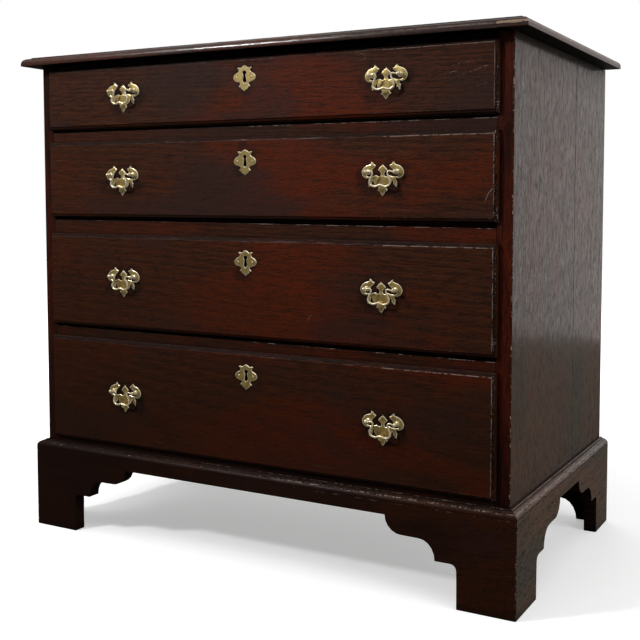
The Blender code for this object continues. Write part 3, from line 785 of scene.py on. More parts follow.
SIDE_OAK = OakFinish(
    name="side_oak",
    dark=(0.034, 0.018, 0.012),
    main=(0.066, 0.034, 0.022),
    warm=(0.092, 0.036, 0.020),
    cool=(0.040, 0.034, 0.026),
    pore=(0.008, 0.006, 0.005),
    worn=(0.38, 0.31, 0.27),
    cool_share=0.8,
    streak_dull=0.8,
    roughness=0.46,
    gloss=0.2,
    coat=1.0,
    coat_roughness=0.14,
    # Dirt and painted shade reach far down the side from under the top's overhang.
    grime_share=0.95,
    grime_reach=0.075,
    pore_share=0.95,
    pore_scale=560.0,
    streak_scale=430.0,
    wear=0.2,
    wear_gain=0.25,
)
FOOT_OAK = replace(
    SIDE_OAK,
    name="foot_oak",
    main=(0.105, 0.052, 0.034),
    warm=(0.135, 0.056, 0.031),
    grime_share=0.8,
    grime_reach=0.02,
    coat_roughness=0.2,
)
PLINTH_OAK = replace(
    FRAME_OAK,
    name="plinth_oak",
    main=(0.027, 0.0090, 0.0046),
    warm=(0.050, 0.0130, 0.0040),
    cool=(0.026, 0.0105, 0.0105),
    cool_share=0.9,
    low_shade=0.2,
    left_shade=0.55,
)
# Painted shade: a darker, dull oak for the plinth's inner faces and sawn edges.
SHADED_OAK = replace(
    FRAME_OAK,
    name="shaded_oak",
    dark=(0.010, 0.006, 0.004),
    main=(0.022, 0.013, 0.009),
    warm=(0.028, 0.014, 0.009),
    coat=0.0,
    gloss=0.04,
    roughness=0.75,
    scuff_share=0.05,
    low_shade=0.0,
)
STILE_OAK = replace(
    FRAME_OAK,
    name="stile_oak",
    dark=(0.010, 0.0030, 0.0018),
    main=(0.042, 0.0080, 0.0034),
    warm=(0.116, 0.0158, 0.0046),
    low_shade=0.5,
)
# The top's faces that look down take full painted shade.
TOP_OAK = replace(
    FRAME_OAK, name="top_oak", worn=(0.46, 0.31, 0.18), coat=1.0, coat_roughness=0.2, underside=1.0
)
# Painted shade under the top's overhang: dirt and shade are stronger and reach further on the top rail.
TOP_RAIL_OAK = replace(FRAME_OAK, name="top_rail_oak", grime_share=1.0, grime_reach=0.04)
BARE_OAK = OakFinish(
    name="bare_oak",
    dark=(0.19, 0.115, 0.062),
    main=(0.36, 0.235, 0.135),
    warm=(0.30, 0.17, 0.085),
    cool=(0.26, 0.18, 0.115),
    pore=(0.11, 0.065, 0.038),
    worn=(0.46, 0.33, 0.20),
    warm_share=0.4,
    underside=0.0,
    wear=0.3,
    wear_gain=0.0,
    scuff_share=0.2,
    dust_share=0.35,
    grime_share=0.75,
    roughness=0.72,
    coat=0.0,
    relief=0.0005,
)
BACK_OAK = replace(
    BARE_OAK,
    name="back_oak",
    dark=(0.10, 0.062, 0.038),
    main=(0.21, 0.140, 0.088),
    warm=(0.17, 0.105, 0.060),
    cool=(0.13, 0.100, 0.072),
    pore=(0.055, 0.036, 0.025),
    worn=(0.33, 0.24, 0.16),
    warm_share=0.5,
    scuff_share=0.3,
    dust_share=0.3,
    grime_share=0.85,
    roughness=0.78,
    relief=0.0007,
)
AGED_BRASS = MetalFinish(
    name="aged_brass",
    bright=(1.0, 0.92, 0.70),
    main=(0.70, 0.52, 0.19),
    dull=(0.38, 0.28, 0.10),
    bright_roughness=0.26,
    dull_roughness=0.46,
    rub_amount=0.9,
    metallic=0.85,
)
# Brass rubbed bright, and lighter than the aged brass so that it also stands for its highlights: wear with a
# painted highlight.
RUBBED_HIGHLIGHT_BRASS = MetalFinish(
    name="rubbed_brass",
    bright=(1.0, 0.95, 0.80),
    main=(1.0, 0.90, 0.66),
    dull=(0.84, 0.68, 0.38),
    bright_roughness=0.22,
    dull_roughness=0.36,
    rub_amount=1.0,
    metallic=0.5,
)
OLD_IRON = MetalFinish(
    name="old_iron",
    bright=(0.42, 0.40, 0.38),
    main=(0.20, 0.185, 0.17),
    dull=(0.10, 0.075, 0.055),
    bright_roughness=0.35,
    dull_roughness=0.6,
    rub_amount=0.7,
    metallic=0.85,
)


class Slot(Enum):
    """The record's material slots."""

    FRAME = "oak_frame"
    SIDE = "oak_side"
    INSIDE = "oak_inside"
    FRONT = "oak_front"
    BRASS = "brass"
    IRON = "lock_iron"


def cad_copy(node: str) -> Shape:
    """Copies a solid of the frame, merged and in as few faces as it can have.

    Args:
        node: Name of the solid.

    Returns:
        The copy.
    """
    shape = bmesh.new()
    shape.from_mesh(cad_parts[node].data)
    bmesh.ops.remove_doubles(shape, verts=shape.verts, dist=MERGE)
    bmesh.ops.dissolve_limit(shape, angle_limit=FLAT_ANGLE, verts=shape.verts, edges=shape.edges)
    return shape


def round_arrises(shape: Shape, width: float, shortest: float) -> None:
    """Rounds the long outer edges of a shape.

    Args:
        shape: The shape.
        width: Width of the rounding.
        shortest: Length of the shortest edge that is rounded.
    """
    edges = [
        edge
        for edge in shape.edges
        if edge.is_manifold
        and edge.is_convex
        and edge.calc_face_angle(0.0) > ARRIS_ANGLE
        and edge.calc_length() > shortest
    ]
    bmesh.ops.bevel(
        shape,
        geom=edges,
        offset=width,
        offset_type="OFFSET",
        segments=2,
        profile=0.5,
        affect="EDGES",
        clamp_overlap=False,
    )
    shape.normal_update()


def add_plank(
    shape: Shape, low: Sequence[float], high: Sequence[float], arris: float, number: int = 0
) -> None:
    """Adds a board with rounded edges to a shape.

    Args:
        shape: The shape.
        low: Lowest corner.
        high: Highest corner.
        arris: Width of the rounding.
        number: Number of its material.
    """
    known = set(shape.faces)
    made = bmesh.ops.create_cube(shape, size=1.0)["verts"]
    bmesh.ops.scale(shape, vec=Vector(high) - Vector(low), verts=made)
    bmesh.ops.translate(shape, vec=(Vector(high) + Vector(low)) / 2, verts=made)
    edges = list({edge for vert in made for edge in vert.link_edges})
    bmesh.ops.bevel(shape, geom=edges, offset=arris, segments=2, profile=0.5, affect="EDGES")
    for face in set(shape.faces) - known:
        face.material_index = number


def uneven_boards(low: float, high: float, count: int, spread: float, draw: random.Random) -> list[Point]:
    """Splits a stretch between boards of unlike widths.

    Args:
        low: Start of the stretch.
        high: End of the stretch.
        count: Number of boards.
        spread: How much wider or narrower a board may be, as a share.
        draw: Where the random numbers come from.

    Returns:
        Start and end of each board.
    """
    shares = [1 + draw.uniform(-spread, spread) for _ in range(count)]
    pitch = (high - low) / sum(shares)
    start = low
    boards = []
    for share in shares:
        boards.append((start, start + pitch * share))
        start += pitch * share
    return boards


def score(shape: Shape, place: float, width: float, face: int, level: float, move: Vector) -> None:
    """Scores a fine V along a glued joint, which crosses the Y axis.

    Args:
        shape: The shape.
        place: Where the joint is on the Y axis.
        width: Width of the V.
        face: Axis that the scored face looks along, 0 to 2.
        level: Where that face is on its axis.
        move: How far the bottom of the V lies from the face.
    """
    normal = Vector((0.0, 1.0, 0.0))
    for offset in (-width / 2, 0.0, width / 2):
        everything = [*shape.verts, *shape.edges, *shape.faces]
        bmesh.ops.bisect_plane(shape, geom=everything, plane_co=normal * (place + offset), plane_no=normal)
    for vert in shape.verts:
        if abs(vert.co.y - place) < MERGE and abs(vert.co[face] - level) < MERGE:
            vert.co += move
    shape.normal_update()


def cut_away(shape: Shape, corners: Sequence[Sequence[float]]) -> Shape:
    """Cuts a six-sided block out of a shape.

    Args:
        shape: The shape, which is freed.
        corners: The block's corners: four of its left end, then four of its right end.

    Returns:
        The cut shape.
    """
    meshes = [bpy.data.meshes.new("wood"), bpy.data.meshes.new("cut")]
    shape.to_mesh(meshes[0])
    shape.free()
    faces = [(0, 1, 2, 3), (7, 6, 5, 4), (0, 4, 5, 1), (1, 5, 6, 2), (2, 6, 7, 3), (3, 7, 4, 0)]
    meshes[1].from_pydata([tuple(corner) for corner in corners], [], faces)
    block = bmesh.new()
    block.from_mesh(meshes[1])
    bmesh.ops.recalc_face_normals(block, faces=block.faces)
    block.to_mesh(meshes[1])
    block.free()
    drafts = [bpy.data.objects.new(mesh.name, mesh) for mesh in meshes]
    for draft in drafts:
        bpy.context.scene.collection.objects.link(draft)
    cutter = drafts[0].modifiers.new("cut", "BOOLEAN")
    cutter.operation = "DIFFERENCE"
    cutter.solver = "EXACT"
    cutter.object = drafts[1]
    result = evaluated_mesh(drafts[0], "cut_wood")
    drafts[0].modifiers.clear()
    left = bmesh.new()
    left.from_mesh(result)
    bpy.data.meshes.remove(result)
    for draft, mesh in zip(drafts, meshes):
        bpy.data.objects.remove(draft)
        bpy.data.meshes.remove(mesh)
    return left


def settle(shape: Shape, name: str, body: str, slot: Slot, *materials: Material, node: str = "") -> None:
    """Makes a finished shape a piece: flat faces look flat, round ones round.

    Args:
        shape: The shape, which is freed.
        name: Name of the piece.
        body: Body that the piece rides on.
        slot: Material slot of the record; not used.
        materials: Its materials, in the order of its faces' numbers.
        node: The solid that it replaces, if it replaces one.
    """
    for face in shape.faces:
        face.smooth = True
    for edge in shape.edges:
        edge.smooth = edge.is_manifold and edge.calc_face_angle(0.0) < SHARP_ANGLE
    draft_mesh = bpy.data.meshes.new(name + "_draft")
    shape.to_mesh(draft_mesh)
    shape.free()
    draft = bpy.data.objects.new(name + "_draft", draft_mesh)
    bpy.context.scene.collection.objects.link(draft)
    weights = draft.modifiers.new("face_weights", "WEIGHTED_NORMAL")
    weights.keep_sharp = True
    mesh = evaluated_mesh(draft, name)
    bpy.data.objects.remove(draft)
    bpy.data.meshes.remove(draft_mesh)
    piece = hand_over(mesh, name, body)
    if node:
        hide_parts(node)
    for number, material in enumerate(materials):
        if number < len(mesh.materials):
            mesh.materials[number] = material
        else:
            mesh.materials.append(material)


def evaluated_mesh(draft: bpy.types.Object, name: str) -> Mesh:
    """Takes an object's mesh with its modifiers applied.

    Args:
        draft: The object.
        name: Name of the new mesh.

    Returns:
        The mesh.
    """
    bpy.context.view_layer.update()
    graph = bpy.context.evaluated_depsgraph_get()
    mesh = bpy.data.meshes.new_from_object(draft.evaluated_get(graph), depsgraph=graph)
    mesh.name = name
    return mesh


def hand_over(mesh: Mesh, name: str, body: str) -> bpy.types.Object:
    """Makes a mesh a piece that rides on a body.

    Args:
        mesh: The mesh, at its place.
        name: Name of the piece.
        body: Body that the piece rides on.

    Returns:
        The piece.
    """
    piece = bpy.data.objects.new(name, mesh)
    bpy.context.scene.collection.objects.link(piece)
    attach(piece, body)
    log.info("%s rides on %s, %d faces", name, body, len(mesh.polygons))
    return piece


class Fixings:
    """Geometry Nodes that set out heads at marked places, and sweep bars along a route."""

    def __init__(self) -> None:
        """Builds the trees."""
        self.heads = self._heads()
        self.screws = self._screws()
        self.nuts = self._nuts()
        self.bars = self._bars()

    @staticmethod
    def _start(name: str, sizes: dict[str, float]) -> NodeGroup:
        """Starts a tree of heads, which all have some inputs alike."""
        shared = {"Marks": "shape", "Finish": "finish", "Seed": 7, "Smallest": 0.85}
        return NodeGroup(name, "GeometryNodeTree", {**shared, **sizes}, {"Shape": "shape"})

    @staticmethod
    def _set_out(group: NodeGroup, head: Socket) -> NodeGroup:
        """Sets a head on each point of the carrier and ends the tree.

        Args:
            group: The tree.
            head: The head's geometry, which looks along Z.

        Returns:
            The tree.
        """
        desk, given = group.desk, group.given
        facing = desk.add("GeometryNodeInputNamedAttribute", data_type="FLOAT_VECTOR")
        facing.inputs[0].default_value = "facing"
        aim = desk.add("FunctionNodeAlignRotationToVector", {"Vector": facing.outputs[0]}, axis="Z")
        size = desk.add("FunctionNodeRandomValue", {"Seed": given["Seed"]}, data_type="FLOAT")
        desk.feed(size.inputs[2], given["Smallest"])
        size.inputs[3].default_value = 1.0
        turn = desk.add("FunctionNodeRandomValue", {"Seed": given["Seed"]}, data_type="FLOAT")
        turn.inputs[3].default_value = math.tau
        spin = desk.add("ShaderNodeCombineXYZ", {2: turn.outputs[1]})
        rotate = desk.add("FunctionNodeRotateRotation", {0: aim.outputs[0]}, rotation_space="LOCAL")
        desk.feed(rotate.inputs[1], spin.outputs[0])
        inputs = {
            "Points": given["Marks"],
            "Instance": head,
            "Rotation": rotate.outputs[0],
            "Scale": size.outputs[1],
        }
        set_out = desk.add("GeometryNodeInstanceOnPoints", inputs)
        real = desk.add("GeometryNodeRealizeInstances", {0: set_out.outputs[0]})
        dressed = desk.add("GeometryNodeSetMaterial", {0: real.outputs[0]})
        desk.feed(dressed.inputs["Material"], given["Finish"])
        group.put("Shape", dressed.outputs[0])
        return group

    def _heads(self) -> NodeGroup:
        """Builds the tree of domed heads, such as pins and nail heads.

        Returns:
            The tree.
        """
        group = self._start("domed_heads", {"Radius": 0.0018, "Height": 0.0010})
        desk, given = group.desk, group.given
        inputs = {"Segments": 14, "Rings": 8, "Radius": given["Radius"]}
        ball = desk.add("GeometryNodeMeshUVSphere", inputs)
        flat = desk.gather((1.0, 1.0, desk.math("DIVIDE", given["Height"], given["Radius"])))
        head = desk.add("GeometryNodeTransform", {"Geometry": ball.outputs[0], "Scale": flat})
        smooth = desk.add("GeometryNodeSetShadeSmooth", {0: head.outputs[0]})
        return self._set_out(group, smooth.outputs[0])

    def _screws(self) -> NodeGroup:
        """Builds the tree of slotted screw heads: a disc less a bar across it.

        Returns:
            The tree.
        """
        sizes = {"Radius": 0.0032, "Height": 0.0007, "Slot Width": 0.0009, "Slot Depth": 0.0005}
        group = self._start("slotted_screws", sizes)
        desk, given = group.desk, group.given
        inputs = {"Vertices": 20, "Radius": given["Radius"], "Depth": desk.times(given["Height"], 2.0)}
        disc = desk.add("GeometryNodeMeshCylinder", inputs)
        long = desk.times(given["Radius"], 3.0)
        size = desk.gather((long, given["Slot Width"], desk.times(given["Slot Depth"], 2.0)))
        bar = desk.add("GeometryNodeMeshCube", {"Size": size})
        rise = desk.gather((0.0, 0.0, given["Height"]))
        raised = desk.add("GeometryNodeTransform", {"Geometry": bar.outputs[0], "Translation": rise})
        inputs = {"Mesh 1": disc.outputs[0], "Mesh 2": raised.outputs[0]}
        slotted = desk.add("GeometryNodeMeshBoolean", inputs, operation="DIFFERENCE")
        return self._set_out(group, slotted.outputs[0])

    def _nuts(self) -> NodeGroup:
        """Builds the tree of nuts, each with the end of its shank.

        Returns:
            The tree.
        """
        sizes = {"Radius": 0.0050, "Thickness": 0.0024, "Shank Radius": 0.0017, "Shank End": SHANK_END}
        group = self._start("nuts", sizes)
        desk, given = group.desk, group.given
        parts = []
        for sides, radius, depth in ((6, "Radius", "Thickness"), (12, "Shank Radius", "Shank End")):
            inputs = {"Vertices": sides, "Radius": given[radius], "Depth": given[depth]}
            rod = desk.add("GeometryNodeMeshCylinder", inputs)
            lift = desk.gather((0.0, 0.0, desk.math("DIVIDE", given[depth], 2.0)))
            moved = desk.add("GeometryNodeTransform", {"Geometry": rod.outputs[0], "Translation": lift})
            parts.append(moved.outputs[0])
        joined = desk.add("GeometryNodeJoinGeometry", {0: parts[0]})
        desk.feed(joined.inputs[0], parts[1])
        return self._set_out(group, joined.outputs[0])

    @staticmethod
    def _bars() -> NodeGroup:
        """Builds the tree that sweeps a round bar, thick and thin, along a route of points.

        Returns:
            The tree.
        """
        inputs = {"Route": "shape", "Finish": "finish", "Sides": 16, "Radius": 0.0011, "Rings": 120}
        group = NodeGroup("swept_bars", "GeometryNodeTree", inputs, {"Shape": "shape"})
        desk, given = group.desk, group.given
        route = desk.add("GeometryNodeMeshToCurve", {0: given["Route"]})
        smooth = desk.add("GeometryNodeCurveSplineType", {0: route.outputs[0]}, spline_type="CATMULL_ROM")
        even = desk.add("GeometryNodeResampleCurve", {"Curve": smooth.outputs[0], "Count": given["Rings"]})
        girth = desk.add("GeometryNodeInputNamedAttribute", data_type="FLOAT")
        girth.inputs[0].default_value = "girth"
        inputs = {"Resolution": given["Sides"], "Radius": given["Radius"]}
        ring = desk.add("GeometryNodeCurvePrimitiveCircle", inputs)
        inputs = {
            "Curve": even.outputs[0],
            "Profile Curve": ring.outputs[0],
            "Scale": girth.outputs[0],
            "Fill Caps": True,
        }
        swept = desk.add("GeometryNodeCurveToMesh", inputs)
        rounded = desk.add("GeometryNodeSetShadeSmooth", {0: swept.outputs[0]})
        dressed = desk.add("GeometryNodeSetMaterial", {0: rounded.outputs[0]})
        desk.feed(dressed.inputs["Material"], given["Finish"])
        real = desk.add("GeometryNodeRealizeInstances", {0: dressed.outputs[0]})
        group.put("Shape", real.outputs[0])
        return group

    @staticmethod
    def _grow(group: NodeGroup, carrier: Mesh, name: str, values: dict[str, Value]) -> Mesh:
        """Runs a tree on a carrier and keeps the plain mesh.

        Args:
            group: The tree.
            carrier: Mesh of marks, or of a route, which is removed.
            name: Name of the new mesh.
            values: Value of each of the tree's inputs, by name.

        Returns:
            The mesh.
        """
        draft = bpy.data.objects.new(name + "_marks", carrier)
        bpy.context.scene.collection.objects.link(draft)
        modifier = draft.modifiers.new(group.tree.name, "NODES")
        modifier.node_group = group.tree
        for item in group.tree.interface.items_tree:
            if item.in_out == "INPUT" and item.name in values:
                modifier[item.identifier] = values[item.name]
        mesh = evaluated_mesh(draft, name)
        draft.modifiers.clear()
        bpy.data.objects.remove(draft)
        bpy.data.meshes.remove(carrier)
        return mesh

    def set_heads(
        self,
        group: NodeGroup,
        places: Iterable[Vector],
        outward: int,
        name: str,
        body: str,
        values: dict[str, Value],
    ) -> None:
        """Sets a head at each place, and makes them one piece.

        Args:
            group: One of the trees of heads.
            places: Where the heads go.
            outward: Which way along Y they look, 1 or -1.
            name: Name of the piece.
            body: Body that it rides on.
            values: Value of each of the tree's inputs, by name.
        """
        marks = bpy.data.meshes.new(name + "_marks")
        marks.from_pydata(list(places), [], [])
        facing = marks.attributes.new("facing", "FLOAT_VECTOR", "POINT")
        for item in facing.data:
            item.vector = (0, outward, 0)
        hand_over(self._grow(group, marks, name, values), name, body)

    def sweep(
        self, route: Sequence[Sequence[float]], girths: Sequence[float], name: str, values: dict[str, Value]
    ) -> Mesh:
        """Sweeps a bar along a route.

        Args:
            route: Points of the route.
            girths: Share of the bar's radius at each point.
            name: Name of the new mesh.
            values: Value of each of the tree's inputs, by name.

        Returns:
            The mesh.
        """
        line = bpy.data.meshes.new(name + "_route")
        line.from_pydata([tuple(point) for point in route], [(i, i + 1) for i in range(len(route) - 1)], [])
        girth = line.attributes.new("girth", "FLOAT", "POINT")
        for item, share in zip(girth.data, girths):
            item.value = share
        return self._grow(self.bars, line, name, values)


fixings = Fixings()
BRASS = AGED_BRASS.material()
RUBBED_AND_HIGHLIGHT = RUBBED_HIGHLIGHT_BRASS.material()
IRON = OLD_IRON.material()


@dataclass(frozen=True)
class Studio:
    """Plain floor, soft light and the camera."""

    camera_place: Place = (0.9644, -1.6501, 0.6323)
    camera_turn: float = 0.4827
    camera_tip: float = -0.0619
    camera_roll: float = 0.002
    photo_pixels: float = 640.0
    focal_pixels: float = 996.27
    axis_pixel: Point = (368.53, 259.63)
    sensor: float = 36.0
    floor_half: float = 9.0
    wall_y: float = 2.75
    wall_height: float = 2.6

    def build(self) -> None:
        """Sets up the view, the world, the floor, the wall, the lights and the camera."""
        bpy.context.scene.view_settings.view_transform = "Standard"
        self._world()
        self._floor()
        self._walls()
        self._lights()
        self._camera()

    def _world(self) -> None:
        """White to the camera, and dim to everything else."""
        world = bpy.data.worlds.new("studio")
        bpy.context.scene.world = world
        world.use_nodes = True
        desk = NodeDesk(world.node_tree)
        path = desk.add("ShaderNodeLightPath")
        seen = desk.add("ShaderNodeBackground", {"Color": (1.0, 1.0, 1.0), "Strength": 1.0})
        around = desk.add("ShaderNodeBackground", {"Color": (1.0, 0.98, 0.97), "Strength": 0.07})
        mirrored = desk.add("ShaderNodeBackground", {"Color": (1.0, 0.90, 0.94), "Strength": 0.03})
        glossy = self._either(desk, path.outputs["Is Glossy Ray"], around, mirrored)
        both = self._either(desk, path.outputs["Is Camera Ray"], glossy, seen)
        desk.add("ShaderNodeOutputWorld", {"Surface": both.outputs[0]})

    @staticmethod
    def _either(desk: NodeDesk, share: Socket, first: Node, second: Node) -> Node:
        """Mixes two shaders."""
        return desk.add("ShaderNodeMixShader", {0: share, 1: first.outputs[0], 2: second.outputs[0]})

    @staticmethod
    def _sheet(name: str, corners: Sequence[Sequence[float]], material: Material) -> bpy.types.Object:
        """Makes one flat sheet of the studio.

        Args:
            name: Name of the sheet.
            corners: Its four corners.
            material: Its material.

        Returns:
            The sheet's object.
        """
        mesh = bpy.data.meshes.new(name)
        mesh.from_pydata([tuple(corner) for corner in corners], [], [(0, 1, 2, 3)])
        mesh.materials.append(material)
        sheet = bpy.data.objects.new(name, mesh)
        bpy.context.scene.collection.objects.link(sheet)
        return sheet

    def _floor(self) -> None:
        """Pale floor, a little brighter to the camera and darker where it is mirrored."""
        material, desk, place = new_material("floor")
        path = desk.add("ShaderNodeLightPath")
        plain = desk.add("ShaderNodeBsdfDiffuse", {"Color": (0.86, 0.86, 0.86)})
        soft = desk.add("ShaderNodeBsdfDiffuse", {"Color": (0.14, 0.13, 0.12)})
        reach = desk.vector("LENGTH", place)
        strength = desk.fade(reach, 0.6, 2.2, 0.42, 1.0)
        glow = desk.add("ShaderNodeEmission", {"Color": (1.0, 1.0, 1.0), "Strength": strength})
        lit = desk.add("ShaderNodeAddShader", {0: plain.outputs[0], 1: glow.outputs[0]})
        dim = desk.add("ShaderNodeEmission", {"Color": (1.0, 0.88, 0.72), "Strength": 0.14})
        seen = self._either(desk, path.outputs["Is Camera Ray"], soft, lit)
        both = self._either(desk, path.outputs["Is Glossy Ray"], seen, dim)
        end_material(desk, both.outputs[0])
        half = self.floor_half
        corners = [(-half, -half, 0), (half, -half, 0), (half, half, 0), (-half, half, 0)]
        self._sheet("floor", corners, material)

    def _mirrored(self, name: str, corners: Sequence[Sequence[float]], colour: Colour, power: float) -> None:
        """Hangs a pale sheet that shows only in gloss.

        Args:
            name: Name of the sheet.
            corners: Its four corners.
            colour: Its colour.
            power: How bright it is.
        """
        material, desk, _ = new_material(name)
        glow = desk.add("ShaderNodeEmission", {"Color": colour, "Strength": power})
        end_material(desk, glow.outputs[0])
        sheet = self._sheet(name, corners, material)
        sheet.visible_camera = False
        sheet.visible_shadow = False
        sheet.visible_diffuse = False

    def _walls(self) -> None:
        """Pale wall behind the chest and pale ceiling, which show only in gloss."""
        y, top = self.wall_y, self.wall_height
        corners = [(-2.5, y, 0), (5.0, y, 0), (5.0, y, top), (-2.5, y, top)]
        self._mirrored("wall", corners, (1.0, 0.92, 0.90), 0.66)
        half, height = 3.2, 3.1
        corners = [(-half, -half, height), (half, -half, height), (half, half, height), (-half, half, height)]
        self._mirrored("ceiling", corners, (1.0, 0.99, 0.97), 0.55)
        corners = [(-3.0, -4.8, 0.7), (-3.0, -1.2, 0.7), (-3.0, -1.2, 2.6), (-3.0, -4.8, 2.6)]
        self._mirrored("left_wall", corners, (1.0, 0.97, 0.92), 0.14)
        corners = [(-1.7, -5.0, 1.2), (-0.5, -5.0, 1.2), (-0.5, -5.0, 2.6), (-1.7, -5.0, 2.6)]
        self._mirrored("front_wall", corners, (0.92, 0.90, 1.0), 0.6)

    def _area(self, name: str, place: Place, aim: Place, size: Point, power: float, mirrored: bool) -> None:
        """Hangs one soft lamp.

        Args:
            name: Name of the lamp.
            place: Where it hangs.
            aim: Where it points.
            size: Its width and height.
            power: Its power, in watts.
            mirrored: Whether gloss shows it.
        """
        light = bpy.data.lights.new(name, "AREA")
        light.shape = "RECTANGLE"
        light.size, light.size_y = size
        light.energy = power
        lamp = bpy.data.objects.new(name, light)
        bpy.context.scene.collection.objects.link(lamp)
        lamp.location = place
        lamp.rotation_mode = "QUATERNION"
        lamp.rotation_quaternion = (Vector(aim) - Vector(place)).to_track_quat("-Z", "Y")
        lamp.visible_glossy = mirrored
        lamp.visible_camera = False

    def _lights(self) -> None:
        """Big soft lamps above, in front and behind."""
        self._area("overhead", (0.0, 0.0, 3.4), (0.0, 0.0, 0.0), (4.5, 4.5), 44.0, False)
        self._area("key", (-1.35, -1.9, 2.0), (0.0, -0.25, 0.6), (0.3, 0.3), 32.0, True)
        self._area("front_high", (0.5, -1.55, 2.5), (0.1, -0.25, 0.7), (2.4, 0.9), 10.0, True)
        self._area("right_soft", (3.2, -0.6, 1.9), (0.4, 0.0, 0.5), (2.0, 2.0), 45.0, False)
        self._area("back_soft", (-1.5, 3.2, 2.2), (0.0, 0.2, 0.4), (3.0, 2.0), 45.0, False)
        self._area("left_soft", (-3.0, -0.6, 1.8), (0.0, 0.0, 0.5), (2.0, 2.0), 30.0, False)

    def _camera(self) -> None:
        """Puts the camera where the photograph was taken from."""
        data = bpy.data.cameras.new("camera")
        data.sensor_width = self.sensor
        data.lens = self.focal_pixels * self.sensor / self.photo_pixels
        middle = self.photo_pixels / 2
        data.shift_x = (middle - self.axis_pixel[0]) / self.photo_pixels
        data.shift_y = (self.axis_pixel[1] - middle) / self.photo_pixels
        data.clip_start = 0.05
        camera = bpy.data.objects.new("camera", data)
        bpy.context.scene.collection.objects.link(camera)
        level = Matrix.Rotation(self.camera_turn, 4, "Z") @ Matrix.Rotation(math.pi / 2, 4, "X")
        tipped = level @ Matrix.Rotation(self.camera_tip, 4, "X")
        rolled = tipped @ Matrix.Rotation(self.camera_roll, 4, "Z")
        camera.matrix_world = Matrix.Translation(self.camera_place) @ rolled
        bpy.context.scene.camera = camera


